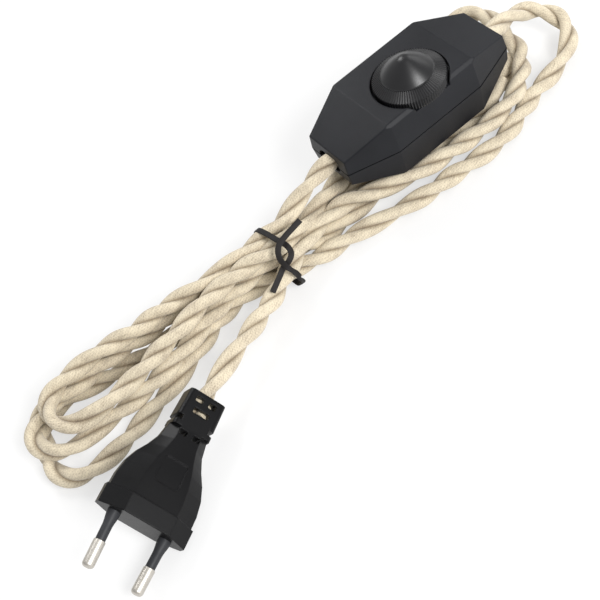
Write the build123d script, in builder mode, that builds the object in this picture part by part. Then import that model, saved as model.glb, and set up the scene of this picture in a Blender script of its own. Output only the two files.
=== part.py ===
from build123d import *
import math
import os

os.makedirs("parts", exist_ok=True)

# An inline cord dimmer: a faceted two-shell housing with a knurled dial that breaks
# through one long ridge, its mains cord with a flat two-pin plug, and its lamp cord.
# Both cords are gathered in one tied hank, and the housing lies on that hank.
#
# Frame, in millimetres: +X runs along the housing, +Z points up through the dial, and
# the dial breaks through the -Y side. The origin is the centre of the housing's own
# box, dial included. The hank and the plug lie on the surface at FLOOR_Z.

# Housing, outside
HOUSING_LENGTH = 75.0
END_WIDTH = 21.4
MIDDLE_WIDTH = 34.4
MIDDLE_LENGTH = 37.4
MIDDLE_ROOF_LENGTH = 38.4
UPPER_HEIGHT = 12.6
UPPER_END_HEIGHT = 5.7
LOWER_HEIGHT = 12.0
LOWER_END_HEIGHT = 5.5
DRAFT = 5.0
RIDGE_RADIUS = 0.5
DIAL_RIDGE_CHAMFER = 1.2
GROOVE_DEPTH = 0.35
GROOVE_HEIGHT = 0.3

# Housing, inside
WALL = 2.0
LIP_HEIGHT = 1.0
LIP_CLEARANCE = 0.15
RECESS_FLOOR = 1.5
BOSS_X = 24.5
BOSS_Y = 10.5
BOSS_RADIUS = 2.7
CASING_SCREW_RADIUS = 1.2
CASING_SCREW_HEAD_RADIUS = 2.3
CASING_SCREW_HEAD_DEPTH = 1.6
CASING_SCREW_LENGTH = 15.0
SCREW_HOLE_CLEARANCE = 0.2
CASING_SCREW_SEAT = 7.0
THREAD_CLEARANCE = 0.05
DRIVE_SLOT_WIDTH = 0.6
DRIVE_SLOT_DEPTH = 0.6

# Dial
DIAL_Y = -4.4
DIAL_RADIUS = 13.4
DIAL_GAP = 0.8
DIAL_UNDERSIDE_GAP = 0.4
RECESS_DEPTH = 2.8
RIM_RISE = 1.0
CONE_RADIUS = 9.4
CONE_RISE = 3.3
TIP_RISE = 9.6
TIP_RADIUS = 2.8
CONE_HOLLOW = 0.5
CONE_LIP = 0.3
FLANK_SLOPE = 40.0
KNURL_TEETH = 80
KNURL_DEPTH = 0.4
GROOVE_HALF_ANGLE = 40.0
DIAL_WALL = 1.6
HUB_RADIUS = 4.8

# Potentiometer
SHAFT_RADIUS = 3.0
SHAFT_CLEARANCE = 0.05
SHAFT_END_GAP = 0.4
SHAFT_TOP = 16.0
SHAFT_FLAT_DEPTH = 1.5
BUSHING_RADIUS = 4.0
BUSHING_HOLE_CLEARANCE = 0.2
POT_RADIUS = 8.2
POT_HEIGHT = 7.4
POT_BORE_FLOOR = 1.5

# Circuit board and what it carries
BOARD_LENGTH = 40.0
BOARD_WIDTH = 26.0
BOARD_THICKNESS = 1.6
BOARD_TOP = -1.0
BOARD_CORNER = 2.0
POST_RADIUS = 2.0
POST_INSET = 3.2
PEG_RADIUS = 0.9
PEG_CLEARANCE = 0.1
PEG_RISE = 0.6
TERMINAL_LENGTH = 8.0
TERMINAL_WIDTH = 10.2
TERMINAL_HEIGHT = 8.0
TERMINAL_X = 15.0
TERMINAL_PITCH = 5.1
WIRE_HOLE_RADIUS = 1.3
WIRE_HOLE_RISE = 3.2
TERMINAL_SCREW_RADIUS = 1.5
TERMINAL_SCREW_LENGTH = 3.0
TERMINAL_SCREW_SINK = 0.5
WIRE_HOLE_DEPTH = 5.0
WIRE_END_GAP = 1.0
CAPACITOR_SIZE = (13.0, 4.4, 8.0)
CAPACITOR_Y = 10.3
CAPACITOR_CORNER = 0.8
TRIAC_BODY = (9.0, 10.0, 4.4)
TRIAC_TAB_LENGTH = 6.2
TRIAC_TAB_THICKNESS = 1.3
TRIAC_X = 11.5
TRIAC_Y = -1.5
TRIAC_HOLE_RADIUS = 1.8
TRIAC_LEG_PITCH = 2.54
TRIAC_LEG_WIDTH = 0.8
TRIAC_LEG_REACH = 2.0
CHOKE_X = -9.5
CHOKE_Y = -3.0
CHOKE_OUTER_RADIUS = 6.2
CHOKE_INNER_RADIUS = 3.4
CHOKE_HEIGHT = 4.0
WINDING_THICKNESS = 0.8
WINDING_ANGLE = 300.0
CHOKE_CHAMFER = 0.5
FUSE_LENGTH = 20.0
FUSE_RADIUS = 2.6
FUSE_Y = 9.2
GLASS_STEP = 0.3
CLIP_SPACING = 16.0
CLIP_WIDTH = 3.0
CLIP_THICKNESS = 0.4
CLIP_ARM = 4.6
CLIP_CLEARANCE = 0.02
RESISTOR_RADIUS = 1.2
RESISTOR_LENGTH = 6.4
RESISTOR_X = 11.5
RESISTOR_Y = 7.0
DIAC_RADIUS = 0.9
DIAC_LENGTH = 4.0
DIAC_X = -12.5
DIAC_Y = -9.0
LEAD_REACH = 1.2
LEAD_RADIUS = 0.3

# Cord, its entries and its clamps
STRAND_DIAMETER = 3.2
CORD_RADIUS = STRAND_DIAMETER
ENTRY_WIDTH = 11.4
ENTRY_CLEARANCE = 0.2
CLAMP_INSET = 6.5
CLAMP_LENGTH = 3.6
CLAMP_WIDTH = 15.6
CLAMP_CORNER = 0.6
CLAMP_TOP = 4.2
CLAMP_SCREW_SEAT = 3.4
SADDLE_TOP = 0.5
CLAMP_GAP = 0.3
CLAMP_CORD_CLEARANCE = 0.05
CLAMP_SCREW_Y = 5.7
CLAMP_SCREW_RADIUS = 1.1
CLAMP_SCREW_LENGTH = 7.0
CLAMP_SCREW_HEAD_RADIUS = 1.9
CLAMP_SCREW_HEAD_HEIGHT = 1.2
CORD_INNER_REACH = 10.5
CONDUCTOR_RADIUS = 0.85

# Plug, in its own frame: x towards the pin tips from the front face, z out of the
# broad top face; each body section is (distance behind the front, half width)
PIN_LENGTH = 19.0
PIN_RADIUS = 2.0
PIN_SPACING = 18.6
PIN_TIP_SPACING = 17.5
PIN_ANCHOR = 8.0
PIN_SEAT_CLEARANCE = 0.02
PIN_NOSE = 1.2
SLEEVE_LENGTH = 10.0
SLEEVE_RADIUS = 1.65
CORE_RADIUS = 1.25
COLLAR_RADIUS = 2.2
COLLAR_LENGTH = 4.0
COLLAR_TAPER = 6.0
FLANGE_WIDTH = 31.6
FLANGE_THICKNESS = 13.7
FLANGE_LENGTH = 6.6
PLUG_SECTIONS = (
    (6.6, 15.0),
    (11.0, 14.9),
    (16.0, 14.0),
    (20.5, 12.2),
    (24.5, 9.8),
    (28.5, 8.0),
    (33.5, 7.1),
)
PLUG_THICKNESS = 12.9
NECK_THICKNESS = 9.8
TOP_SHARE = 0.52
SIDE_SHARE = 0.25
RELIEF_END = 46.8
RELIEF_END_WIDTH = 13.2
RELIEF_CORNER = 1.6
WINDOW_WIDTH = 2.8
WINDOW_LENGTH = 1.8
WINDOW_OFFSET = 2.4
WINDOW_CORNER = 0.5
WINDOW_ROWS = (31.8, 44.2)
SLOT_PLACE = 40.3
SLOT_WIDTH = 5.8
NOTCH_PLACE = 36.2
NOTCH_DEPTH = 2.2
SOCKET_DEPTH = 7.2
SOCKET_CLEARANCE = 0.05
PANEL_PLACE = 18.0
PANEL_LENGTH = 9.0
PANEL_WIDTH = 8.6
PANEL_DEPTH = 0.3
PANEL_CORNER = 1.0
PLUG_YAW = -151.2
PLUG_PITCH = -1.2
PLUG_ROLL = -46.0
PLUG_FRONT = (-165.9, -58.5)
PLUG_FRONT_HEIGHT = 12.75

# Hank: one section every few centimetres, each (x, near y, far y, underside, top),
# the last two as heights above the surface it lies on
HANK_UNDER_HOUSING = 12.6
HANK_SECTIONS = (
    (-182.0, -18.5, -1.5, 0.0, 6.6),
    (-174.0, -25.5, 8.0, 0.0, 12.0),
    (-166.0, -26.2, 12.5, 0.0, 16.4),
    (-150.0, -25.5, 15.0, 0.0, 17.8),
    (-125.0, -20.5, 12.5, 0.0, 18.8),
    (-95.0, -13.0, 9.0, 0.0, 19.5),
    (-78.0, -16.5, 4.5, 1.4, 20.0),
    (-66.0, -16.5, 4.5, 1.4, 20.0),
    (-57.0, -17.5, 5.0, 0.0, 13.0),
    (-36.0, -21.0, 9.0, 0.0, 12.3),
    (0.0, -27.0, 18.0, 0.0, 12.4),
    (35.0, -22.0, 30.0, 0.0, 12.0),
    (50.0, -10.0, 31.0, 0.0, 11.0),
    (57.0, 2.0, 26.0, 0.0, 8.0),
)
HANK_CORNER_SHARE = 0.46
TIE_SECTION = 6
TIE_X = -72.0
TIE_WIDTH = 2.4
TIE_THICKNESS = 0.9
TIE_CLEARANCE = 0.2
KNOT_RADIUS = 1.2
KNOT_LENGTH = 3.6
KNOT_ANGLE = 131.0
TIE_TAIL_ENDS = ((-60.2, -10.6, 22.5), (-83.4, -21.1, 14.4))

# Free cord, as (x, y, height above the surface); the plug's lead begins in the plug.
# Each bend takes this share of the shorter run beside it.
BEND_SHARE = 0.45
PLUG_LEAD_START = (39.8, 52.4)
PLUG_LEAD = (
    (-108.5, -28.6, 10.6),
    (-97.0, -24.2, 9.9),
    (-85.5, -20.2, 9.7),
    (-76.5, -15.4, 9.8),
)
MAINS_LEAD_STRAIGHT = 2.3
MAINS_LEAD = ((-52.0, 0.5, 19.6), (-64.5, -1.2, 15.8))
LAMP_LEAD_STRAIGHT = 2.8
LAMP_LEAD = (
    (52.5, 5.5, 18.0),
    (63.0, 8.4, 12.3),
    (69.8, 2.3, 8.5),
    (69.5, -6.4, 6.0),
    (61.5, -13.2, 4.3),
    (51.5, -16.3, 3.6),
    (41.5, -17.6, 3.4),
    (33.0, -20.2, 3.4),
)

# Levels that follow from the sizes above
TIP_LEVEL = UPPER_HEIGHT + TIP_RISE
PARTING_Z = (LOWER_HEIGHT - TIP_LEVEL) / 2
FLOOR_Z = PARTING_Z - LOWER_HEIGHT - HANK_UNDER_HOUSING
RECESS_RADIUS = DIAL_RADIUS + DIAL_GAP
RECESS_LEVEL = UPPER_HEIGHT - RECESS_DEPTH
CUP_LEVEL = RECESS_LEVEL - RECESS_FLOOR
BOARD_BOTTOM = BOARD_TOP - BOARD_THICKNESS
ENTRY_HEIGHT = 2 * (CORD_RADIUS + ENTRY_CLEARANCE)
CLAMP_X = HOUSING_LENGTH / 2 - CLAMP_INSET
CORD_INNER_END = HOUSING_LENGTH / 2 - CORD_INNER_REACH
BOSS_PLACES = [(x, y) for x in (-BOSS_X, BOSS_X) for y in (-BOSS_Y, BOSS_Y)]


def level(height):
    """Horizontal plane at a height above the parting line."""
    return Plane.XY.offset(PARTING_Z + height)


def across(x, height=0.0):
    """Plane square to the housing's length, its x along +Y and its y along +Z."""
    return Plane(origin=(x, 0, PARTING_Z + height), x_dir=(0, 1, 0), z_dir=(1, 0, 0))


def save(builder, name):
    """Label a finished piece and write its STEP file."""
    builder.part.label = name
    export_step(builder.part, f"parts/{name}.step")


def octagon(inset):
    """Octagonal plan of the housing at the parting line, set in by a wall."""
    half_length = HOUSING_LENGTH / 2
    half_middle = MIDDLE_LENGTH / 2
    with BuildSketch() as plan:
        with BuildLine():
            Polyline(
                (half_length, -END_WIDTH / 2),
                (half_length, END_WIDTH / 2),
                (half_middle, MIDDLE_WIDTH / 2),
                (-half_middle, MIDDLE_WIDTH / 2),
                (-half_length, END_WIDTH / 2),
                (-half_length, -END_WIDTH / 2),
                (-half_middle, -MIDDLE_WIDTH / 2),
                (half_middle, -MIDDLE_WIDTH / 2),
                close=True,
            )
        make_face()
        if inset:
            offset(amount=-inset, kind=Kind.INTERSECTION)
    return plan.sketch


def shell_form(height, end_height, up, inset):
    """Outside of one half of the housing, or its cavity when inset is a wall.

    The drafted octagon is cut by the side profile: a flat middle roof and two end
    roofs that slope down to low end walls."""
    half_length = HOUSING_LENGTH / 2
    half_roof = MIDDLE_ROOF_LENGTH / 2
    with BuildPart() as form:
        with BuildSketch(Plane(origin=(0, 0, PARTING_Z), x_dir=(1, 0, 0), z_dir=(0, 0, up))):
            add(octagon(inset))
        extrude(amount=height, taper=DRAFT)
        with BuildSketch(Plane.XZ):
            with BuildLine():
                Polyline(
                    (-half_length, PARTING_Z - up * inset),
                    (-half_length, PARTING_Z + up * end_height),
                    (-half_roof, PARTING_Z + up * height),
                    (half_roof, PARTING_Z + up * height),
                    (half_length, PARTING_Z + up * end_height),
                    (half_length, PARTING_Z - up * inset),
                    close=True,
                )
            make_face()
            if inset:
                offset(amount=-inset, kind=Kind.INTERSECTION)
        extrude(amount=MIDDLE_WIDTH, both=True, mode=Mode.INTERSECT)
    return form.part


def cord_entries():
    """Rounded slots through both end walls, as a body to cut away."""
    with BuildPart() as slots:
        for side in (-1, 1):
            with BuildSketch(across(side * (HOUSING_LENGTH / 2 - WALL - 1))):
                SlotOverall(ENTRY_WIDTH, ENTRY_HEIGHT)
            extrude(amount=side * (WALL + 2))
    return slots.part


def columns(places, radius, bottom, top):
    """Upright round columns between two heights above the parting line."""
    with BuildPart() as group:
        with BuildSketch(level(bottom)):
            with Locations(*places):
                Circle(radius)
        extrude(amount=top - bottom)
    return group.part


def slotted_screws(places, shank, seat, length, head, head_height, up):
    """Screws whose heads seat at a height, with a straight drive slot."""
    with BuildPart() as group:
        add(columns(places, shank, seat, seat - up * length))
        add(columns(places, head, seat, seat + up * head_height))
        with BuildSketch(level(seat + up * head_height)):
            with Locations(*places):
                Rectangle(2 * head, DRIVE_SLOT_WIDTH)
        extrude(amount=-up * DRIVE_SLOT_DEPTH, mode=Mode.SUBTRACT)
    return group.part


# Upper shell: the drafted faceted form, its ridges softened, one ridge chamfered
# beside the dial, hollowed down to its wall but for the dial's cup and the bosses.
BOSS_BOTTOM = LIP_HEIGHT + LIP_CLEARANCE

with BuildPart() as upper_cavity:
    add(shell_form(UPPER_HEIGHT, UPPER_END_HEIGHT, 1, WALL))
    add(
        columns([(0, DIAL_Y)], RECESS_RADIUS + RECESS_FLOOR, CUP_LEVEL, UPPER_HEIGHT),
        mode=Mode.SUBTRACT,
    )
    add(columns(BOSS_PLACES, BOSS_RADIUS, BOSS_BOTTOM, UPPER_HEIGHT), mode=Mode.SUBTRACT)

with BuildPart() as upper_shell:
    add(shell_form(UPPER_HEIGHT, UPPER_END_HEIGHT, 1, 0))
    roof_edges = upper_shell.edges().filter_by(Axis.X).group_by(Axis.Z)[-1]
    chamfer(roof_edges.sort_by(Axis.Y)[0], DIAL_RIDGE_CHAMFER)
    fillet(upper_shell.edges().filter_by(lambda e: e.center().Z > PARTING_Z + 0.1), RIDGE_RADIUS)
    add(upper_cavity.part, mode=Mode.SUBTRACT)
    with BuildSketch(level(0)):
        add(octagon(WALL / 2))
    extrude(amount=BOSS_BOTTOM, mode=Mode.SUBTRACT)
    add(
        columns([(0, DIAL_Y)], RECESS_RADIUS, RECESS_LEVEL, UPPER_HEIGHT + 1),
        mode=Mode.SUBTRACT,
    )
    add(
        columns([(0, DIAL_Y)], BUSHING_RADIUS + BUSHING_HOLE_CLEARANCE, 0, UPPER_HEIGHT),
        mode=Mode.SUBTRACT,
    )
    add(
        columns(
            BOSS_PLACES,
            CASING_SCREW_RADIUS + THREAD_CLEARANCE,
            0,
            CASING_SCREW_LENGTH - CASING_SCREW_SEAT + 0.5,
        ),
        mode=Mode.SUBTRACT,
    )
    add(cord_entries(), mode=Mode.SUBTRACT)
save(upper_shell, "upper_shell")

# Lower shell: the upper one's mirror image, a little shallower, with a locating lip,
# screw posts, board posts and a saddle at each end that the cord is clamped in.
POST_X = BOARD_LENGTH / 2 - POST_INSET
POST_Y = BOARD_WIDTH / 2 - POST_INSET
POST_PLACES = [(x, y) for x in (-POST_X, POST_X) for y in (-POST_Y, POST_Y)]
CLAMP_SCREW_PLACES = [
    (x, y) for x in (-CLAMP_X, CLAMP_X) for y in (-CLAMP_SCREW_Y, CLAMP_SCREW_Y)
]
CLAMP_CHANNEL_RADIUS = CORD_RADIUS + CLAMP_CORD_CLEARANCE

with BuildPart() as lower_cavity:
    add(shell_form(LOWER_HEIGHT, LOWER_END_HEIGHT, -1, WALL))
    add(columns(BOSS_PLACES, BOSS_RADIUS, -LOWER_HEIGHT, 0), mode=Mode.SUBTRACT)
    add(columns(POST_PLACES, POST_RADIUS, -LOWER_HEIGHT, BOARD_BOTTOM), mode=Mode.SUBTRACT)
    with BuildSketch(level(0)):
        with Locations((-CLAMP_X, 0), (CLAMP_X, 0)):
            Rectangle(CLAMP_LENGTH, CLAMP_WIDTH)
    extrude(amount=-LOWER_HEIGHT, mode=Mode.SUBTRACT)

with BuildPart() as lower_shell:
    add(shell_form(LOWER_HEIGHT, LOWER_END_HEIGHT, -1, 0))
    fillet(lower_shell.edges().filter_by(lambda e: e.center().Z < PARTING_Z - 0.1), RIDGE_RADIUS)
    add(lower_cavity.part, mode=Mode.SUBTRACT)
    with BuildSketch(level(0)):
        add(octagon(WALL / 2 + LIP_CLEARANCE))
        add(octagon(WALL), mode=Mode.SUBTRACT)
    extrude(amount=LIP_HEIGHT)
    add(columns(BOSS_PLACES, BOSS_RADIUS, 0, BOSS_BOTTOM))
    add(columns(POST_PLACES, PEG_RADIUS, BOARD_BOTTOM - 1, BOARD_TOP + PEG_RISE))
    with BuildSketch(level(0)):
        with Locations((-CLAMP_X, 0), (CLAMP_X, 0)):
            Rectangle(CLAMP_LENGTH, CLAMP_WIDTH)
    extrude(amount=SADDLE_TOP)
    with BuildSketch(across(0)):
        Circle(CLAMP_CHANNEL_RADIUS)
    extrude(amount=CLAMP_X + CLAMP_LENGTH, both=True, mode=Mode.SUBTRACT)
    add(
        columns(
            CLAMP_SCREW_PLACES,
            CLAMP_SCREW_RADIUS + THREAD_CLEARANCE,
            CLAMP_SCREW_SEAT - CLAMP_SCREW_LENGTH - 0.5,
            SADDLE_TOP,
        ),
        mode=Mode.SUBTRACT,
    )
    add(
        columns(
            BOSS_PLACES,
            CASING_SCREW_RADIUS + SCREW_HOLE_CLEARANCE,
            -LOWER_HEIGHT,
            BOSS_BOTTOM,
        ),
        mode=Mode.SUBTRACT,
    )
    add(
        columns(
            BOSS_PLACES,
            CASING_SCREW_HEAD_RADIUS + SCREW_HOLE_CLEARANCE,
            -LOWER_HEIGHT,
            -CASING_SCREW_SEAT,
        ),
        mode=Mode.SUBTRACT,
    )
    with BuildSketch(level(0)):
        add(octagon(-1))
        add(octagon(GROOVE_DEPTH), mode=Mode.SUBTRACT)
    extrude(amount=-GROOVE_HEIGHT, mode=Mode.SUBTRACT)
    add(cord_entries(), mode=Mode.SUBTRACT)
save(lower_shell, "lower_shell")

with BuildPart() as casing_screws:
    add(
        slotted_screws(
            BOSS_PLACES,
            CASING_SCREW_RADIUS,
            -CASING_SCREW_SEAT,
            CASING_SCREW_LENGTH,
            CASING_SCREW_HEAD_RADIUS,
            CASING_SCREW_HEAD_DEPTH,
            -1,
        )
    )
save(casing_screws, "casing_screws")

# Dial: a turned form, hollow beneath, whose rim and flange carry one row of V grooves
# that run up the rim and on over the flange to the foot of the smooth pointed cap.
UNDERSIDE = RECESS_LEVEL + DIAL_UNDERSIDE_GAP
RIM_TOP = UPPER_HEIGHT + RIM_RISE
CONE_FOOT = UPPER_HEIGHT + CONE_RISE
BALL_LEVEL = TIP_LEVEL - TIP_RADIUS
FLANK_ANGLE = math.radians(FLANK_SLOPE)
FLANK_TOP = (
    TIP_RADIUS * math.sin(FLANK_ANGLE),
    BALL_LEVEL + TIP_RADIUS * math.cos(FLANK_ANGLE),
)
FLANK_MIDDLE = (
    (CONE_RADIUS + FLANK_TOP[0]) / 2 - CONE_HOLLOW,
    (CONE_FOOT + CONE_LIP + FLANK_TOP[1]) / 2 - CONE_HOLLOW,
)
TIP_MIDDLE = (
    TIP_RADIUS * math.sin(FLANK_ANGLE / 2),
    BALL_LEVEL + TIP_RADIUS * math.cos(FLANK_ANGLE / 2),
)
HALF_GROOVE = KNURL_DEPTH * math.tan(math.radians(GROOVE_HALF_ANGLE))
dial_axis = Plane(origin=(0, DIAL_Y, PARTING_Z), x_dir=(1, 0, 0), z_dir=(0, -1, 0))
dial_centre = Axis((0, DIAL_Y, 0), (0, 0, 1))


def shaft_end():
    """Upper end of the shaft, whose flat carries the dial round."""
    with BuildPart() as end:
        with BuildSketch(level(UNDERSIDE)):
            with Locations((0, DIAL_Y)):
                Circle(SHAFT_RADIUS)
            with Locations((0, DIAL_Y + SHAFT_RADIUS)):
                Rectangle(2 * SHAFT_RADIUS, 2 * SHAFT_FLAT_DEPTH, mode=Mode.SUBTRACT)
        extrude(amount=SHAFT_TOP - UNDERSIDE)
    return end.part


with BuildPart() as knurl_groove:
    groove_foot = Plane(
        origin=(DIAL_RADIUS, DIAL_Y, PARTING_Z + UNDERSIDE - 1),
        x_dir=(1, 0, 0),
        z_dir=(0, 0, 1),
    )
    with BuildSketch(groove_foot) as rim_groove:
        with BuildLine():
            Polyline(
                (KNURL_DEPTH, -2 * HALF_GROOVE),
                (KNURL_DEPTH, 2 * HALF_GROOVE),
                (-KNURL_DEPTH, 0),
                close=True,
            )
        make_face()
    with BuildLine(dial_axis) as groove_path:
        Polyline(
            (DIAL_RADIUS, UNDERSIDE - 1),
            (DIAL_RADIUS, RIM_TOP),
            (CONE_RADIUS, CONE_FOOT),
        )
    sweep(sections=rim_groove.sketch, path=groove_path.line, transition=Transition.RIGHT)

with BuildPart() as dial_knob:
    with BuildSketch(dial_axis):
        with BuildLine():
            Polyline(
                (0, UNDERSIDE),
                (DIAL_RADIUS, UNDERSIDE),
                (DIAL_RADIUS, RIM_TOP),
                (CONE_RADIUS, CONE_FOOT),
                (CONE_RADIUS, CONE_FOOT + CONE_LIP),
            )
            ThreePointArc((CONE_RADIUS, CONE_FOOT + CONE_LIP), FLANK_MIDDLE, FLANK_TOP)
            ThreePointArc(FLANK_TOP, TIP_MIDDLE, (0, TIP_LEVEL))
            Line((0, TIP_LEVEL), (0, UNDERSIDE))
        make_face()
    revolve(axis=dial_centre)
    with BuildSketch(level(UNDERSIDE)):
        with Locations((0, DIAL_Y)):
            Circle(DIAL_RADIUS - DIAL_WALL)
            Circle(HUB_RADIUS, mode=Mode.SUBTRACT)
    extrude(amount=RIM_TOP - UNDERSIDE, mode=Mode.SUBTRACT)
    add(shaft_end(), mode=Mode.SUBTRACT)
    for tooth in range(KNURL_TEETH):
        add(
            knurl_groove.part.rotate(dial_centre, tooth * 360 / KNURL_TEETH),
            mode=Mode.SUBTRACT,
        )
save(dial_knob, "dial_knob")

# Potentiometer: its body stands on the board, its bushing fills the hole in the
# recess floor, and its shaft turns with the dial.
with BuildPart() as potentiometer_body:
    add(columns([(0, DIAL_Y)], POT_RADIUS, BOARD_TOP, BOARD_TOP + POT_HEIGHT))
    add(columns([(0, DIAL_Y)], BUSHING_RADIUS, BOARD_TOP, RECESS_LEVEL))
    add(
        columns(
            [(0, DIAL_Y)],
            SHAFT_RADIUS + SHAFT_CLEARANCE,
            BOARD_TOP + POT_BORE_FLOOR,
            RECESS_LEVEL,
        ),
        mode=Mode.SUBTRACT,
    )
save(potentiometer_body, "potentiometer_body")

with BuildPart() as potentiometer_shaft:
    add(
        columns(
            [(0, DIAL_Y)],
            SHAFT_RADIUS,
            BOARD_TOP + POT_BORE_FLOOR + SHAFT_END_GAP,
            UNDERSIDE,
        )
    )
    add(shaft_end())
save(potentiometer_shaft, "potentiometer_shaft")

# Circuit board on its pegs, and the parts soldered to both its faces.
with BuildPart() as circuit_board:
    with BuildSketch(level(BOARD_BOTTOM)):
        RectangleRounded(BOARD_LENGTH, BOARD_WIDTH, BOARD_CORNER)
        with Locations(*POST_PLACES):
            Circle(PEG_RADIUS + PEG_CLEARANCE, mode=Mode.SUBTRACT)
    extrude(amount=BOARD_THICKNESS)
save(circuit_board, "circuit_board")

with BuildPart() as film_capacitor:
    with BuildSketch(level(BOARD_TOP)):
        with Locations((0, CAPACITOR_Y)):
            Rectangle(CAPACITOR_SIZE[0], CAPACITOR_SIZE[1])
    extrude(amount=CAPACITOR_SIZE[2])
    fillet(film_capacitor.edges().filter_by(Axis.Z), CAPACITOR_CORNER)
save(film_capacitor, "film_capacitor")

TRIAC_TOP = BOARD_BOTTOM
TRIAC_BASE = TRIAC_TOP - TRIAC_BODY[2]
TRIAC_FRONT = TRIAC_X + TRIAC_BODY[0] / 2
TRIAC_BACK = TRIAC_X - TRIAC_BODY[0] / 2

with BuildPart() as triac:
    with BuildSketch(level(TRIAC_BASE)):
        with Locations((TRIAC_X, TRIAC_Y)):
            Rectangle(TRIAC_BODY[0], TRIAC_BODY[1])
    extrude(amount=TRIAC_BODY[2])
    with BuildSketch(level(TRIAC_BASE)):
        with Locations((TRIAC_BACK - TRIAC_TAB_LENGTH / 2, TRIAC_Y)):
            Rectangle(TRIAC_TAB_LENGTH, TRIAC_BODY[1])
            Circle(TRIAC_HOLE_RADIUS, mode=Mode.SUBTRACT)
    extrude(amount=TRIAC_TAB_THICKNESS)
    leg_level = (TRIAC_TOP + TRIAC_BASE) / 2
    leg_places = [(0, TRIAC_Y + n * TRIAC_LEG_PITCH) for n in (-1, 0, 1)]
    with BuildSketch(level(leg_level)):
        with Locations(*leg_places):
            with Locations((TRIAC_FRONT + TRIAC_LEG_REACH / 2, 0)):
                Rectangle(TRIAC_LEG_REACH, TRIAC_LEG_WIDTH)
    extrude(amount=-TRIAC_LEG_WIDTH / 2)
    with BuildSketch(level(leg_level)):
        with Locations(*leg_places):
            with Locations((TRIAC_FRONT + TRIAC_LEG_REACH - TRIAC_LEG_WIDTH / 4, 0)):
                Rectangle(TRIAC_LEG_WIDTH / 2, TRIAC_LEG_WIDTH)
    extrude(amount=TRIAC_TOP - leg_level)
save(triac, "triac")

CHOKE_LEVEL = BOARD_BOTTOM - WINDING_THICKNESS - CHOKE_HEIGHT / 2
CHOKE_MIDDLE = (CHOKE_OUTER_RADIUS + CHOKE_INNER_RADIUS) / 2
CHOKE_BAND = CHOKE_OUTER_RADIUS - CHOKE_INNER_RADIUS
choke_axis = Axis((CHOKE_X, CHOKE_Y, 0), (0, 0, 1))
choke_section = Plane(
    origin=(CHOKE_X, CHOKE_Y, PARTING_Z + CHOKE_LEVEL), x_dir=(1, 0, 0), z_dir=(0, -1, 0)
)

with BuildPart() as choke_core:
    with BuildSketch(choke_section):
        with Locations((CHOKE_MIDDLE, 0)):
            Rectangle(CHOKE_BAND, CHOKE_HEIGHT)
    revolve(axis=choke_axis)
    chamfer(choke_core.edges(), CHOKE_CHAMFER)
save(choke_core, "choke_core")

with BuildPart() as choke_winding:
    with BuildSketch(choke_section) as winding_section:
        with Locations((CHOKE_MIDDLE, 0)):
            Rectangle(CHOKE_BAND + 2 * WINDING_THICKNESS, CHOKE_HEIGHT + 2 * WINDING_THICKNESS)
        chamfer(winding_section.vertices(), CHOKE_CHAMFER + WINDING_THICKNESS / 2)
    revolve(axis=choke_axis, revolution_arc=WINDING_ANGLE)
    add(choke_core.part, mode=Mode.SUBTRACT)
save(choke_winding, "choke_winding")

FUSE_LEVEL = BOARD_BOTTOM - CLIP_THICKNESS - FUSE_RADIUS

with BuildPart() as fuse:
    with BuildSketch(across(-FUSE_LENGTH / 2, FUSE_LEVEL)):
        with Locations((FUSE_Y, 0)):
            Circle(FUSE_RADIUS)
    extrude(amount=FUSE_LENGTH)
    with BuildSketch(across(-CLIP_SPACING / 2 + CLIP_WIDTH / 2 + 1, FUSE_LEVEL)):
        with Locations((FUSE_Y, 0)):
            Circle(FUSE_RADIUS)
            Circle(FUSE_RADIUS - GLASS_STEP, mode=Mode.SUBTRACT)
    extrude(amount=CLIP_SPACING - CLIP_WIDTH - 2, mode=Mode.SUBTRACT)
save(fuse, "fuse")

with BuildPart() as fuse_clips:
    for side in (-1, 1):
        with BuildSketch(across(side * CLIP_SPACING / 2 - CLIP_WIDTH / 2, BOARD_BOTTOM)):
            with Locations((FUSE_Y, -CLIP_ARM / 2)):
                Rectangle(2 * (FUSE_RADIUS + CLIP_THICKNESS), CLIP_ARM)
            with Locations((FUSE_Y, -CLIP_ARM / 2 - CLIP_THICKNESS)):
                Rectangle(2 * (FUSE_RADIUS + CLIP_CLEARANCE), CLIP_ARM, mode=Mode.SUBTRACT)
        extrude(amount=CLIP_WIDTH)
save(fuse_clips, "fuse_clips")


def leaded_parts(places, radius, length):
    """Barrels that lie on the board along the housing, a bent lead at each end."""
    reach = length + 2 * LEAD_REACH
    with BuildPart() as group:
        for x, y in places:
            with BuildSketch(across(x - length / 2, BOARD_TOP + radius)):
                with Locations((y, 0)):
                    Circle(radius)
            extrude(amount=length)
            with BuildSketch(across(x - reach / 2, BOARD_TOP + radius)):
                with Locations((y, 0)):
                    Circle(LEAD_RADIUS)
            extrude(amount=reach)
            foot = reach / 2 - LEAD_RADIUS
            add(
                columns(
                    [(x - foot, y), (x + foot, y)],
                    LEAD_RADIUS,
                    BOARD_TOP,
                    BOARD_TOP + radius,
                )
            )
    return group.part


with BuildPart() as resistors:
    add(
        leaded_parts(
            [(-RESISTOR_X, RESISTOR_Y), (RESISTOR_X, RESISTOR_Y)],
            RESISTOR_RADIUS,
            RESISTOR_LENGTH,
        )
    )
save(resistors, "resistors")

with BuildPart() as diac:
    add(leaded_parts([(DIAC_X, DIAC_Y)], DIAC_RADIUS, DIAC_LENGTH))
save(diac, "diac")

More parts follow.
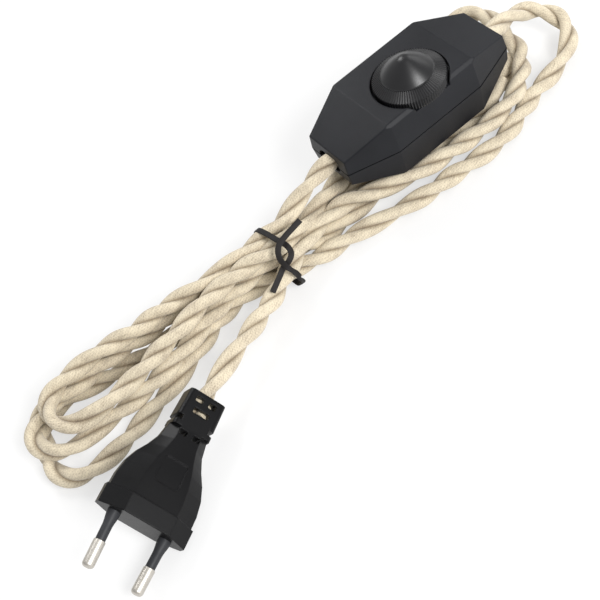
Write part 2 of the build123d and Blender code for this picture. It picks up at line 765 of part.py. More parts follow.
# Terminal blocks, one at each end of the board: wires enter from outside, and a
# slotted screw bears down on each. The cords' conductors reach into them.
TERMINAL_TOP = BOARD_TOP + TERMINAL_HEIGHT
WIRE_LEVEL = BOARD_TOP + WIRE_HOLE_RISE
SCREW_LEVEL = TERMINAL_TOP - TERMINAL_SCREW_SINK
TERMINAL_SCREW_PLACES = [
    (x, y)
    for x in (-TERMINAL_X, TERMINAL_X)
    for y in (-TERMINAL_PITCH / 2, TERMINAL_PITCH / 2)
]


def terminal_block(side):
    """Block with two screw wells from above and two wire holes from outside."""
    outer_face = side * (TERMINAL_X + TERMINAL_LENGTH / 2)
    with BuildPart() as block:
        with BuildSketch(level(BOARD_TOP)):
            with Locations((side * TERMINAL_X, 0)):
                Rectangle(TERMINAL_LENGTH, TERMINAL_WIDTH)
        extrude(amount=TERMINAL_HEIGHT)
        add(
            columns(
                TERMINAL_SCREW_PLACES,
                TERMINAL_SCREW_RADIUS + THREAD_CLEARANCE,
                SCREW_LEVEL - TERMINAL_SCREW_LENGTH,
                TERMINAL_TOP,
            ),
            mode=Mode.SUBTRACT,
        )
        with BuildSketch(across(outer_face, WIRE_LEVEL)):
            with Locations((-TERMINAL_PITCH / 2, 0), (TERMINAL_PITCH / 2, 0)):
                Circle(WIRE_HOLE_RADIUS)
        extrude(amount=-side * WIRE_HOLE_DEPTH, mode=Mode.SUBTRACT)
    return block.part


with BuildPart() as terminal_block_mains:
    add(terminal_block(-1))
save(terminal_block_mains, "terminal_block_mains")

with BuildPart() as terminal_block_lamp:
    add(terminal_block(1))
save(terminal_block_lamp, "terminal_block_lamp")

with BuildPart() as terminal_screws:
    add(
        columns(
            TERMINAL_SCREW_PLACES,
            TERMINAL_SCREW_RADIUS,
            SCREW_LEVEL - TERMINAL_SCREW_LENGTH,
            SCREW_LEVEL,
        )
    )
    with BuildSketch(level(SCREW_LEVEL)):
        with Locations(*TERMINAL_SCREW_PLACES):
            Rectangle(2 * TERMINAL_SCREW_RADIUS, DRIVE_SLOT_WIDTH)
    extrude(amount=-DRIVE_SLOT_DEPTH, mode=Mode.SUBTRACT)
save(terminal_screws, "terminal_screws")


def conductors(side):
    """Two insulated wires from the end of a cord into a terminal block."""
    outer_face = TERMINAL_X + TERMINAL_LENGTH / 2
    bend_room = (CORD_INNER_END - outer_face) / 4
    with BuildPart() as pair:
        for lane in (-1, 1):
            start = (side * CORD_INNER_END, lane * CORD_RADIUS / 2, PARTING_Z)
            bend_out = (side * (CORD_INNER_END - bend_room), lane * CORD_RADIUS / 2, PARTING_Z)
            bend_in = (
                side * (outer_face + bend_room),
                lane * TERMINAL_PITCH / 2,
                PARTING_Z + WIRE_LEVEL,
            )
            end = (
                side * (outer_face + WIRE_END_GAP - WIRE_HOLE_DEPTH),
                lane * TERMINAL_PITCH / 2,
                PARTING_Z + WIRE_LEVEL,
            )
            with BuildLine():
                FilletPolyline(start, bend_out, bend_in, end, radius=CONDUCTOR_RADIUS)
            with BuildSketch(Plane(origin=start, x_dir=(0, 1, 0), z_dir=(-side, 0, 0))):
                Circle(CONDUCTOR_RADIUS)
            sweep()
    return pair.part


with BuildPart() as mains_conductors:
    add(conductors(-1))
save(mains_conductors, "mains_conductors")

with BuildPart() as lamp_conductors:
    add(conductors(1))
save(lamp_conductors, "lamp_conductors")


def cord_clamp(side):
    """Bar arched over the cord, with a countersunk seat for each of its screws."""
    places = [(side * CLAMP_X, y) for y in (-CLAMP_SCREW_Y, CLAMP_SCREW_Y)]
    bottom = SADDLE_TOP + CLAMP_GAP
    with BuildPart() as bar:
        with BuildSketch(level(bottom)):
            with Locations((side * CLAMP_X, 0)):
                RectangleRounded(CLAMP_LENGTH, CLAMP_WIDTH, CLAMP_CORNER)
        extrude(amount=CLAMP_TOP - bottom)
        with BuildSketch(across(0)):
            Circle(CLAMP_CHANNEL_RADIUS)
        extrude(amount=side * (CLAMP_X + CLAMP_LENGTH), mode=Mode.SUBTRACT)
        add(
            columns(places, CLAMP_SCREW_RADIUS + SCREW_HOLE_CLEARANCE, bottom, CLAMP_TOP),
            mode=Mode.SUBTRACT,
        )
        add(
            columns(
                places,
                CLAMP_SCREW_HEAD_RADIUS + SCREW_HOLE_CLEARANCE,
                CLAMP_SCREW_SEAT,
                CLAMP_TOP,
            ),
            mode=Mode.SUBTRACT,
        )
    return bar.part


with BuildPart() as cord_clamp_mains:
    add(cord_clamp(-1))
save(cord_clamp_mains, "cord_clamp_mains")

with BuildPart() as cord_clamp_lamp:
    add(cord_clamp(1))
save(cord_clamp_lamp, "cord_clamp_lamp")

with BuildPart() as clamp_screws:
    add(
        slotted_screws(
            CLAMP_SCREW_PLACES,
            CLAMP_SCREW_RADIUS,
            CLAMP_SCREW_SEAT,
            CLAMP_SCREW_LENGTH,
            CLAMP_SCREW_HEAD_RADIUS,
            CLAMP_SCREW_HEAD_HEIGHT,
            1,
        )
    )
save(clamp_screws, "clamp_screws")

# Plug: every piece is made in the plug's own frame, then turned and moved to where the
# plug lies on its lower side facet and the flange's lower edge.
PLUG_POSE = (
    Location((PLUG_FRONT[0], PLUG_FRONT[1], FLOOR_Z + PLUG_FRONT_HEIGHT))
    * Location((0, 0, 0), (0, 0, PLUG_YAW))
    * Location((0, 0, 0), (0, PLUG_PITCH, 0))
    * Location((0, 0, 0), (PLUG_ROLL, 0, 0))
)
NECK_START = PLUG_SECTIONS[-1][0]


def plug_section(behind, half_width, half_thickness):
    """Flat octagon across the plug: broad top and bottom faces and narrow sides."""
    plane = Plane(origin=(-behind, 0, 0), x_dir=(0, 1, 0), z_dir=(1, 0, 0))
    top = TOP_SHARE * half_width
    side = SIDE_SHARE * half_thickness
    with BuildSketch(plane) as section:
        with BuildLine():
            Polyline(
                (half_width, -side),
                (half_width, side),
                (top, half_thickness),
                (-top, half_thickness),
                (-half_width, side),
                (-half_width, -side),
                (-top, -half_thickness),
                (top, -half_thickness),
                close=True,
            )
        make_face()
    return section.sketch


def half_thickness_at(behind):
    """Half of the plug's thickness at a distance behind its flange."""
    share = (behind - FLANGE_LENGTH) / (NECK_START - FLANGE_LENGTH)
    return (PLUG_THICKNESS + share * (NECK_THICKNESS - PLUG_THICKNESS)) / 2


def pin_plane(lane):
    """Frame of one pin: it leaves the front face leaning towards its twin."""
    lean = -lane * (PIN_SPACING - PIN_TIP_SPACING) / 2
    return Plane(
        origin=(0, lane * PIN_SPACING / 2, 0), x_dir=(0, 0, 1), z_dir=(PIN_LENGTH, lean, 0)
    )


def plug_pin(lane, clearance):
    """Metal pin: a bare round-nosed tip on a thinner core anchored in the body."""
    with BuildPart() as pin:
        with BuildSketch(pin_plane(lane).offset(-PIN_ANCHOR)):
            Circle(CORE_RADIUS + clearance)
        extrude(amount=PIN_ANCHOR + SLEEVE_LENGTH)
        if not clearance:
            with BuildSketch(pin_plane(lane).offset(SLEEVE_LENGTH)):
                Circle(PIN_RADIUS)
            extrude(amount=PIN_LENGTH - SLEEVE_LENGTH)
            fillet(pin.edges().sort_by(Axis.X)[-1], PIN_NOSE)
    return pin.part


def pin_sleeve(lane):
    """Insulating sleeve round the root of a pin, thicker where it meets the body."""
    with BuildPart() as sleeve:
        with BuildSketch(pin_plane(lane)):
            Circle(SLEEVE_RADIUS)
        extrude(amount=SLEEVE_LENGTH)
        with BuildSketch(pin_plane(lane)):
            Circle(COLLAR_RADIUS)
        extrude(amount=COLLAR_LENGTH, taper=COLLAR_TAPER)
        with BuildSketch(pin_plane(lane)):
            Circle(CORE_RADIUS + PIN_SEAT_CLEARANCE)
        extrude(amount=SLEEVE_LENGTH, mode=Mode.SUBTRACT)
        with BuildSketch(Plane.YZ):
            Rectangle(FLANGE_WIDTH, FLANGE_THICKNESS)
        extrude(amount=-1, mode=Mode.SUBTRACT)
    return sleeve.part


with BuildPart() as plug_form:
    flange = plug_section(0, FLANGE_WIDTH / 2, FLANGE_THICKNESS / 2)
    extrude(flange, amount=FLANGE_LENGTH, dir=(-1, 0, 0))
    for behind, half_width in PLUG_SECTIONS:
        add(plug_section(behind, half_width, half_thickness_at(behind)))
    loft(ruled=True)
    with BuildSketch(Plane(origin=(-NECK_START, 0, 0), x_dir=(0, 1, 0), z_dir=(1, 0, 0))):
        RectangleRounded(2 * PLUG_SECTIONS[-1][1], NECK_THICKNESS, RELIEF_CORNER)
    with BuildSketch(Plane(origin=(-RELIEF_END, 0, 0), x_dir=(0, 1, 0), z_dir=(1, 0, 0))):
        RectangleRounded(RELIEF_END_WIDTH, NECK_THICKNESS, RELIEF_CORNER)
    loft()
    with BuildSketch(Plane.XY.offset(-NECK_THICKNESS)):
        for row in WINDOW_ROWS:
            with Locations((-row, -WINDOW_OFFSET), (-row, WINDOW_OFFSET)):
                RectangleRounded(WINDOW_LENGTH, WINDOW_WIDTH, WINDOW_CORNER)
        with Locations((-SLOT_PLACE, 0)):
            RectangleRounded(WINDOW_LENGTH, SLOT_WIDTH, WINDOW_CORNER)
        for lane in (-1, 1):
            with Locations((-NOTCH_PLACE, lane * PLUG_SECTIONS[-1][1])):
                Rectangle(WINDOW_LENGTH, 2 * NOTCH_DEPTH)
    extrude(amount=2 * NECK_THICKNESS, mode=Mode.SUBTRACT)
    with BuildSketch(Plane(origin=(-RELIEF_END, 0, 0), x_dir=(0, 1, 0), z_dir=(1, 0, 0))):
        Circle(CORD_RADIUS + SOCKET_CLEARANCE)
    extrude(amount=SOCKET_DEPTH, mode=Mode.SUBTRACT)
    face_slope = (PLUG_THICKNESS - NECK_THICKNESS) / 2 / (NECK_START - FLANGE_LENGTH)
    panel_plane = Plane(
        origin=(-PANEL_PLACE, 0, half_thickness_at(PANEL_PLACE) - PANEL_DEPTH),
        x_dir=(1, 0, face_slope),
        z_dir=(-face_slope, 0, 1),
    )
    with BuildSketch(panel_plane):
        RectangleRounded(PANEL_LENGTH, PANEL_WIDTH, PANEL_CORNER)
    extrude(amount=1, mode=Mode.SUBTRACT)
    for lane in (-1, 1):
        add(plug_pin(lane, PIN_SEAT_CLEARANCE), mode=Mode.SUBTRACT)

with BuildPart() as plug_body:
    add(plug_form.part.moved(PLUG_POSE))
save(plug_body, "plug_body")

with BuildPart() as plug_pin_1:
    add(plug_pin(-1, 0).moved(PLUG_POSE))
save(plug_pin_1, "plug_pin_1")

with BuildPart() as plug_pin_2:
    add(plug_pin(1, 0).moved(PLUG_POSE))
save(plug_pin_2, "plug_pin_2")

with BuildPart() as pin_sleeve_1:
    add(pin_sleeve(-1).moved(PLUG_POSE))
save(pin_sleeve_1, "pin_sleeve_1")

with BuildPart() as pin_sleeve_2:
    add(pin_sleeve(1).moved(PLUG_POSE))
save(pin_sleeve_2, "pin_sleeve_2")


def above_floor(x, y, height):
    """Point given by its height above the surface that the object lies on."""
    return (x, y, FLOOR_Z + height)


def bend_radii(points):
    """Radius of each bend: the share of the shorter run beside it, by the turn."""
    radii = []
    for before, corner, after in zip(points, points[1:], points[2:]):
        run_in = Vector(*corner) - Vector(*before)
        run_out = Vector(*after) - Vector(*corner)
        turn = math.radians(run_in.get_angle(run_out))
        reach = BEND_SHARE * min(run_in.length, run_out.length)
        radii.append(reach / math.tan(turn / 2))
    return radii


def cord_tube(name, points):
    """Round tube of straight runs joined by tangent arcs; prints its bends."""
    radii = bend_radii(points)
    with BuildPart() as tube:
        with BuildLine() as route:
            FilletPolyline(*points, radius=radii)
        first_run = Vector(*points[1]) - Vector(*points[0])
        with BuildSketch(Plane(origin=points[0], z_dir=first_run)):
            Circle(CORD_RADIUS)
        sweep()
    length = sum(edge.length for edge in route.edges())
    share = tube.part.volume / (math.pi * CORD_RADIUS**2 * length)
    print(name, "length", round(length, 1), "volume share", round(share, 4))
    print(name, "bend radii", [round(radius, 1) for radius in radii])
    return tube.part


plug_lead_points = [
    tuple((PLUG_POSE * Location((-behind, 0, 0))).position) for behind in PLUG_LEAD_START
] + [above_floor(*point) for point in PLUG_LEAD]
mains_lead_points = [
    (-CORD_INNER_END, 0, PARTING_Z),
    (-HOUSING_LENGTH / 2 - MAINS_LEAD_STRAIGHT, 0, PARTING_Z),
] + [above_floor(*point) for point in MAINS_LEAD]
lamp_lead_points = [
    (CORD_INNER_END, 0, PARTING_Z),
    (HOUSING_LENGTH / 2 + LAMP_LEAD_STRAIGHT, 0, PARTING_Z),
] + [above_floor(*point) for point in LAMP_LEAD]

with BuildPart() as plug_lead:
    add(cord_tube("plug_lead", plug_lead_points))
save(plug_lead, "plug_lead")

with BuildPart() as mains_lead:
    add(cord_tube("mains_lead", mains_lead_points))
save(mains_lead, "mains_lead")

with BuildPart() as lamp_lead:
    add(cord_tube("lamp_lead", lamp_lead_points))
save(lamp_lead, "lamp_lead")


with BuildPart() as cord_hank:
    for x, near, far, underside, top in HANK_SECTIONS:
        middle = (x, (near + far) / 2, FLOOR_Z + (underside + top) / 2)
        with BuildSketch(Plane(origin=middle, x_dir=(0, 1, 0), z_dir=(1, 0, 0))):
            RectangleRounded(
                far - near,
                top - underside,
                HANK_CORNER_SHARE * min(far - near, top - underside),
            )
    loft(ruled=True)
save(cord_hank, "cord_hank")

# Twist tie: a band round the waist of the hank, knotted on its upper near side, with
# two straight tails.
_, WAIST_NEAR, WAIST_FAR, WAIST_UNDERSIDE, WAIST_TOP = HANK_SECTIONS[TIE_SECTION]
WAIST_WIDTH = WAIST_FAR - WAIST_NEAR
WAIST_HEIGHT = WAIST_TOP - WAIST_UNDERSIDE
WAIST_CORNER = HANK_CORNER_SHARE * min(WAIST_WIDTH, WAIST_HEIGHT)
BAND_REACH = TIE_CLEARANCE + TIE_THICKNESS
KNOT_REACH = WAIST_CORNER + BAND_REACH + KNOT_RADIUS / 2
KNOT = (
    TIE_X,
    WAIST_NEAR + WAIST_CORNER + KNOT_REACH * math.cos(math.radians(KNOT_ANGLE)),
    FLOOR_Z + WAIST_TOP - WAIST_CORNER + KNOT_REACH * math.sin(math.radians(KNOT_ANGLE)),
)
waist_middle = (
    TIE_X - TIE_WIDTH / 2,
    (WAIST_NEAR + WAIST_FAR) / 2,
    FLOOR_Z + (WAIST_UNDERSIDE + WAIST_TOP) / 2,
)

with BuildPart() as twist_tie:
    with BuildSketch(Plane(origin=waist_middle, x_dir=(0, 1, 0), z_dir=(1, 0, 0))):
        RectangleRounded(
            WAIST_WIDTH + 2 * BAND_REACH,
            WAIST_HEIGHT + 2 * BAND_REACH,
            WAIST_CORNER + BAND_REACH,
        )
        RectangleRounded(
            WAIST_WIDTH + 2 * TIE_CLEARANCE,
            WAIST_HEIGHT + 2 * TIE_CLEARANCE,
            WAIST_CORNER + TIE_CLEARANCE,
            mode=Mode.SUBTRACT,
        )
    extrude(amount=TIE_WIDTH)
    with BuildSketch(
        Plane(origin=(TIE_X - KNOT_LENGTH / 2, KNOT[1], KNOT[2]), x_dir=(0, 1, 0), z_dir=(1, 0, 0))
    ):
        Circle(KNOT_RADIUS)
    extrude(amount=KNOT_LENGTH)
    for tail_end in TIE_TAIL_ENDS:
        run = Vector(*above_floor(*tail_end)) - Vector(*KNOT)
        flat = Vector(0, 0, 1).cross(run)
        with BuildSketch(Plane(origin=KNOT, x_dir=flat, z_dir=run)):
            Rectangle(TIE_WIDTH, TIE_THICKNESS)
        extrude(amount=run.length)
save(twist_tie, "twist_tie")
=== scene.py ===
# %% [markdown]
# # Inline cord dimmer on its tied cord
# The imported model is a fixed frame: every solid is already in place, in metres.
# This lesson dresses it. We place the camera first, then make the cords and the other
# pieces that need a finer surface than a solid gives: the tie, the dial and the pins.
# The finishes follow, and last come the floor and the lamps.

# %% Load the frame
import math

import bpy
import numpy as np
from mathutils import Euler, Matrix, Vector


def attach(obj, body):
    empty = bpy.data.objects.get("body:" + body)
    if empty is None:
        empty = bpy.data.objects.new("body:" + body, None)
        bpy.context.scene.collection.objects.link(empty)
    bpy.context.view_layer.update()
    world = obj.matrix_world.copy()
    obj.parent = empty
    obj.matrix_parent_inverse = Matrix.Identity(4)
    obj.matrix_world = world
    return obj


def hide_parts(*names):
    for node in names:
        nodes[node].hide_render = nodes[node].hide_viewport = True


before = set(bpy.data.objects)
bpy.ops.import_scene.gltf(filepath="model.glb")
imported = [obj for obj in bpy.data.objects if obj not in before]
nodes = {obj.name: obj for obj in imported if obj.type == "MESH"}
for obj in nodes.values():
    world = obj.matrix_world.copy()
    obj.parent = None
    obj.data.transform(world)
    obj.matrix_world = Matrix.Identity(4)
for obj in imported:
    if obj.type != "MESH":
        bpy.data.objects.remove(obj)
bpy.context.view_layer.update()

# %% [markdown]
# ## Levels of the object
# Heights are easier to read from two levels: the parting line of the housing, and
# the surface that the cord and the plug lie on. Lengths below are in millimetres, and
# the factor MM or the helper `metres` makes them metres.

# %% Levels and units
MM = 0.001
PARTING = -5.1
FLOOR = PARTING - 24.6


def metres(points):
    """Millimetre points as an array in metres."""
    return np.asarray(points, float) * MM


def above_floor(points):
    """Points given as x, y and height above the floor, as an array in metres."""
    return metres(np.asarray(points, float) + [0.0, 0.0, FLOOR])


print("floor at", FLOOR, "mm")

# %% [markdown]
# ## Camera
# The photograph looks down on the object at about fifty degrees, along the housing
# from the plug's side. The matrix is built from the camera's right, up and backward
# directions, so no guess about Euler angles is needed. Half the picture's width and
# the focal length, both in pixels, give the lens its angle.

# %% Camera
VIEW_RIGHT = Vector((0.76067, -0.57885, -0.29380))
VIEW_UP = Vector((0.62781, 0.54094, 0.55967))
VIEW_FORWARD = Vector((0.16503, 0.61018, -0.77488))
CAMERA_PLACE = Vector((-0.1454, -0.27712, 0.29702))
HALF_PICTURE = 300
FOCAL_LENGTH = 1200

camera_data = bpy.data.cameras.new("camera")
camera_data.angle = 2 * math.atan(HALF_PICTURE / FOCAL_LENGTH)
camera_data.clip_start = 0.01
camera = bpy.data.objects.new("camera", camera_data)
turn = Matrix((VIEW_RIGHT, VIEW_UP, -VIEW_FORWARD)).transposed()
camera.matrix_world = Matrix.Translation(CAMERA_PLACE) @ turn.to_4x4()
scene = bpy.context.scene
scene.collection.objects.link(camera)
scene.camera = camera
scene.view_settings.view_transform = "Standard"
print("camera angle", round(math.degrees(camera_data.angle), 2))

# %% [markdown]
# ## Surfaces from grids
# Every new piece is a grid of points worked out as one array. Each grid closes on
# itself round the piece, and its two ends may be closed by a single face. The same
# helper writes the texture coordinates, one pair for each corner of each face, so a
# pattern can run along a cord without a seam.


# %% Grid helper
SHARP_ANGLE = math.radians(38)


def grid_faces(rows, columns):
    """Corner indices of the quads of a rows x columns grid that closes round itself."""
    i = np.arange(rows - 1)[:, None]
    j = np.arange(columns)[None, :]
    k = (j + 1) % columns
    quads = [i * columns + j, i * columns + k, (i + 1) * columns + k, (i + 1) * columns + j]
    return np.stack(quads, axis=-1).reshape(-1, 4)


def grid_uv(u, v):
    """Texture coordinates of each quad's corners from the u of rows and v of columns."""
    u0, v0 = np.meshgrid(u[:-1], v[:-1], indexing="ij")
    u1, v1 = np.meshgrid(u[1:], v[1:], indexing="ij")
    corners = [(u0, v0), (u0, v1), (u1, v1), (u1, v0)]
    return np.stack([np.stack(c, axis=-1) for c in corners], axis=2).reshape(-1, 2)


def mesh_piece(name, grids, caps=True, uvs=None, body="housing"):
    """One object from several grids of points (rows, columns, 3) in metres.

    All quads come first, in the order of the texture coordinates, and then the caps.
    """
    points = np.vstack([grid.reshape(-1, 3) for grid in grids])
    faces, ends, start = [], [], 0
    for grid in grids:
        rows, columns = grid.shape[:2]
        faces += (grid_faces(rows, columns) + start).tolist()
        first_ring = start + np.arange(columns)
        last_ring = first_ring + (rows - 1) * columns
        ends += [first_ring[::-1].tolist(), last_ring.tolist()]
        start += rows * columns
    mesh = bpy.data.meshes.new(name)
    mesh.from_pydata(points.tolist(), [], faces + ends if caps else faces)
    if uvs is not None:
        flat = np.zeros((len(mesh.loops), 2))
        flat[: len(uvs)] = uvs
        mesh.uv_layers.new(name="along").data.foreach_set("uv", flat.ravel())
    mesh.validate()
    mesh.shade_smooth()
    mesh.set_sharp_from_angle(angle=SHARP_ANGLE)
    piece = bpy.data.objects.new(name, mesh)
    scene.collection.objects.link(piece)
    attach(piece, body)
    return piece


print("quads of a 3 x 4 grid:", len(grid_faces(3, 4)))

# %% [markdown]
# ## Routes of the two cords
# The mains cord runs from the housing to the plug, the lamp cord from the housing to
# a bare end under it. Each is one smooth NURBS line whose control points follow the
# real turns: straight out of the gland, through the waist of the hank, round each
# loop and back. The points are x, y and height above the floor.

# %% Control points
MAINS_ROUTE = (
    (-27, 0, 24.6), (-39.8, 0, 24.6), (-52, 0.5, 19.6), (-64.5, -1.2, 15.8),
    (-72, -1.2, 16.1), (-88.3, -0.7, 15.8), (-97.8, 0.4, 15.5), (-106.5, 2.1, 15),
    (-116.2, 3.7, 15), (-126.5, 3.5, 15), (-135.7, 5.9, 15), (-142.3, 7.2, 15),
    (-151.5, 7.6, 14.5), (-159.1, 8.5, 13.6), (-167, 4.5, 13.2), (-168, -3.9, 13.2),
    (-162.4, -10.9, 13.2), (-153.7, -12.6, 13.4), (-142, -11.9, 13.5), (-133.9, -11.2, 14),
    (-125.9, -10.3, 15), (-118.3, -9.5, 15.5), (-109.6, -7.8, 16), (-101.8, -6.4, 16),
    (-93.9, -6.1, 16), (-83, -6.2, 16), (-72, -8.4, 16.2), (-60.5, -6.3, 13),
    (-47.1, -0.5, 10.5), (-37.1, 3.1, 9.5), (-18, 9.5, 9.4), (2, 15.5, 9.4),
    (20, 22, 9), (34, 29, 8), (46, 33.5, 7), (55, 28.5, 7), (54.8, 18.5, 7),
    (52.5, 9, 7), (50.3, 1.2, 7), (46.9, -4.7, 7), (38.6, -13, 7.5), (29.3, -17.7, 8),
    (19.6, -19.1, 8), (10.6, -19.4, 8.2), (1.4, -18.5, 8.4), (-12.8, -17, 8.6),
    (-24.3, -13.4, 8.6), (-33, -8.9, 9), (-39.8, -6.2, 9), (-48.2, -6.2, 9.4),
    (-57, -7.4, 9.6), (-65, -10.6, 9.8), (-72, -13.6, 9.9), (-78.5, -17.4, 9.8),
    (-85.5, -20.4, 9.7), (-91.5, -22.4, 9.7), (-97.4, -24.6, 9.9), (-104.7, -27.2, 10.3),
    (-112.1, -30.2, 10.9), (-118.3, -33, 11.4), (-124.9, -36, 11.75), (-131, -39.3, 11.9),
)
LAMP_ROUTE = (
    (27, 0, 24.6), (40.3, 0, 24.6), (52.5, 5.5, 18), (63, 8.4, 12.3), (69.8, 2.3, 8.5),
    (69.5, -6.4, 6), (61.5, -13.2, 4.3), (51.5, -16.3, 3.6), (41.5, -17.6, 3.4),
    (33, -20.2, 3.4), (22.4, -23.9, 3.3), (13.9, -25.2, 3.3), (4.6, -24.6, 3.3),
    (-5.3, -23.2, 3.3), (-15.5, -22.8, 3.3), (-25.5, -20.5, 3.3), (-35.2, -18.5, 3.3),
    (-42.8, -16.2, 3.3), (-51.5, -14.7, 3.3), (-60.2, -13.6, 3.3), (-72, -9.6, 3.7),
    (-84.3, -5.6, 3.5), (-92.6, -5, 3.3), (-101, -6.2, 3.3), (-108.4, -8.8, 3.3),
    (-116, -11.9, 3.3), (-124.2, -14.9, 3.3), (-133.8, -17.6, 3.3), (-141.6, -19.2, 3.3),
    (-148.4, -21, 3.3), (-159.1, -22.9, 3.3), (-166, -22.8, 3.3), (-174, -21, 3.3),
    (-178.4, -13.5, 3.3), (-176.6, -3.8, 3.3), (-173, 4.4, 3.3), (-167.5, 9, 3.3),
    (-160.5, 9.6, 3.3), (-151, 7.2, 3.3), (-139.5, 4, 3.3), (-127.7, 1.8, 3.3),
    (-111, 0.2, 3.3), (-98, -1, 3.3), (-88, -1.6, 3.3), (-80, -2, 3.4), (-72, -2.4, 3.7),
    (-62, -1.8, 3.4), (-50, -0.6, 3.3), (-36, -0.4, 3.3), (-20, -0.2, 3.3),
    (-4, -0.6, 3.3), (14, -1.6, 3.3), (26, -3.6, 3.3), (36, -4.4, 3.3), (43.6, -0.6, 3.3),
    (46.4, 8, 3.3), (44, 17, 3.3), (36.5, 21.5, 3.3), (25, 20.5, 3.3), (10, 15.5, 3.3),
    (-8, 10, 3.3), (-26, 7.2, 3.3), (-42, 6, 3.3), (-54, 4.8, 4), (-64, 3, 7.6),
    (-72, 1.2, 9.9), (-87.8, 2.5, 9.6), (-103.4, 3.8, 9.4),
    (-112.7, 4.3, 9.2), (-121.9, 4.2, 9), (-130.2, 6, 9), (-141.6, 7.1, 9),
    (-153, 6.4, 9), (-163, 7.4, 8.6), (-172.4, 7, 8.4), (-178, -0.6, 8.2),
    (-175.2, -9.6, 8), (-166.5, -13.6, 7.6), (-159, -13.4, 7.4), (-152.8, -13.1, 7),
    (-145.2, -13.8, 7.5), (-137.3, -14.1, 8), (-128.8, -13.8, 9), (-119.6, -12, 9),
    (-110.9, -9.6, 9), (-102.1, -7.5, 9.5), (-93.6, -6, 9.8), (-83.2, -5.8, 9.9),
    (-72, -6, 9.9), (-65, -6.8, 7.2), (-57, -7.8, 3.6), (-46, -7.8, 3.3),
    (-34, -7.3, 3.3), (-24, -7.1, 3.3), (-14, -7.4, 3.3), (-3, -8.6, 3.3),
    (7, -9.6, 3.3), (15, -10.2, 3.3), (21, -10.8, 3.6), (28, -10, 5.2), (34, -5.4, 7.6),
)
print("control points:", len(MAINS_ROUTE), "and", len(LAMP_ROUTE))

# %% [markdown]
# ## From a route to a twisted pair
# The cord is two cotton-covered strands laid round each other. Blender evaluates the
# NURBS line, and we read its points back from a curve with no bevel. Along that
# line, each strand's centre circles the route once per lay, half a turn apart. Two
# slow waves make the lay wander a little, as handling does to a real cord. The whole
# line is lifted a hair, so that the lowest strand lies on the floor and not in it.


# %% Smooth line of a route
LIFT = 0.32 * MM
STEP = 0.9 * MM


def smooth_line(name, route):
    """Evenly spaced points along the NURBS line of a route, and their distance along it."""
    curve = bpy.data.curves.new(name, "CURVE")
    curve.dimensions = "3D"
    curve.resolution_u = 16
    spline = curve.splines.new("NURBS")
    control = above_floor(route) + [0.0, 0.0, LIFT]
    spline.points.add(len(control) - 1)
    weighted = np.hstack([control, np.ones((len(control), 1))])
    spline.points.foreach_set("co", weighted.ravel())
    spline.order_u = 3
    spline.use_endpoint_u = True
    line = bpy.data.objects.new(name, curve)
    scene.collection.objects.link(line)
    bpy.context.view_layer.update()
    bare = bpy.data.meshes.new_from_object(line)
    found = np.zeros(len(bare.vertices) * 3)
    bare.vertices.foreach_get("co", found)
    found = found.reshape(-1, 3)
    bpy.data.objects.remove(line)
    bpy.data.meshes.remove(bare)
    gaps = np.linalg.norm(np.diff(found, axis=0), axis=1)
    reach = np.concatenate([[0.0], np.cumsum(gaps)])
    places = np.linspace(0.0, reach[-1], int(reach[-1] / STEP))
    even = np.stack([np.interp(places, reach, found[:, k]) for k in range(3)], axis=1)
    return even, places


def path_frame(line):
    """Upward and sideways unit directions at right angles to each point's tangent."""
    tangent = np.gradient(line, axis=0)
    tangent /= np.linalg.norm(tangent, axis=1)[:, None]
    up = np.array([0.0, 0.0, 1.0]) - tangent * tangent[:, 2:]
    up /= np.linalg.norm(up, axis=1)[:, None]
    return up, np.cross(tangent, up)


def tube(line, radius, sides=12):
    """Rings of a tube: line + radius * (cos(a) * up + sin(a) * side)."""
    up, side = path_frame(line)
    angle = np.linspace(0.0, 2 * np.pi, sides, endpoint=False)[None, :, None]
    ring = np.cos(angle) * up[:, None] + np.sin(angle) * side[:, None]
    return line[:, None] + radius * ring


print("points read every", STEP / MM, "mm")

# %% Two strands round a route
STRAND = 2.12 * MM
STRAND_OFFSET = 1.5 * MM
LAY = 31.0 * MM
WANDER = 0.55
LONG_WAVE = 110.0 * MM
SHORT_WAVE = 47.0 * MM


def twisted_pair(name, route, phase):
    """Two strands whose centres circle the route by half a turn from each other.

    At the distance s along the route, with t = 2 pi s, a strand stands at the angle
    t / LAY + WANDER * (sin(t / LONG_WAVE) + sin(t / SHORT_WAVE) / 2) + phase.
    """
    line, reach = smooth_line(name + "_route", route)
    up, side = path_frame(line)
    t = 2 * np.pi * reach
    wander = WANDER * (np.sin(t / LONG_WAVE) + 0.5 * np.sin(t / SHORT_WAVE))
    grids, uvs, depth = [], [], []
    for half_turn in (0.0, math.pi):
        angle = (t / LAY + wander + phase + half_turn)[:, None]
        centre = line + STRAND_OFFSET * (np.cos(angle) * up + np.sin(angle) * side)
        grid = tube(centre, STRAND)
        grids.append(grid)
        depth.append(np.linalg.norm(grid - line[:, None], axis=2).ravel())
        uvs.append(grid_uv(reach / MM, np.linspace(0.0, 1.0, grid.shape[1] + 1)))
    piece = mesh_piece(name, grids, uvs=np.vstack(uvs))
    openness = piece.data.attributes.new("openness", "FLOAT", "POINT")
    openness.data.foreach_set("value", np.concatenate(depth) / (STRAND + STRAND_OFFSET))
    return piece, line, reach[-1]


mains_cord, mains_line, mains_length = twisted_pair("mains_cord", MAINS_ROUTE, phase=0.6)
lamp_cord, lamp_line, lamp_length = twisted_pair("lamp_cord", LAMP_ROUTE, phase=1.1)
print("cord lengths:", round(mains_length, 3), round(lamp_length, 3))

# %% [markdown]
# ## Twist tie
# A flat paper-covered wire holds the hank. It is a ribbon: a thin rounded rectangle
# carried along a path, with its flat side turned to a given outward direction. One
# end wraps over the waist and ends as the lower tail, the other comes up the near
# side in a corkscrew and ends as the straight upper tail.


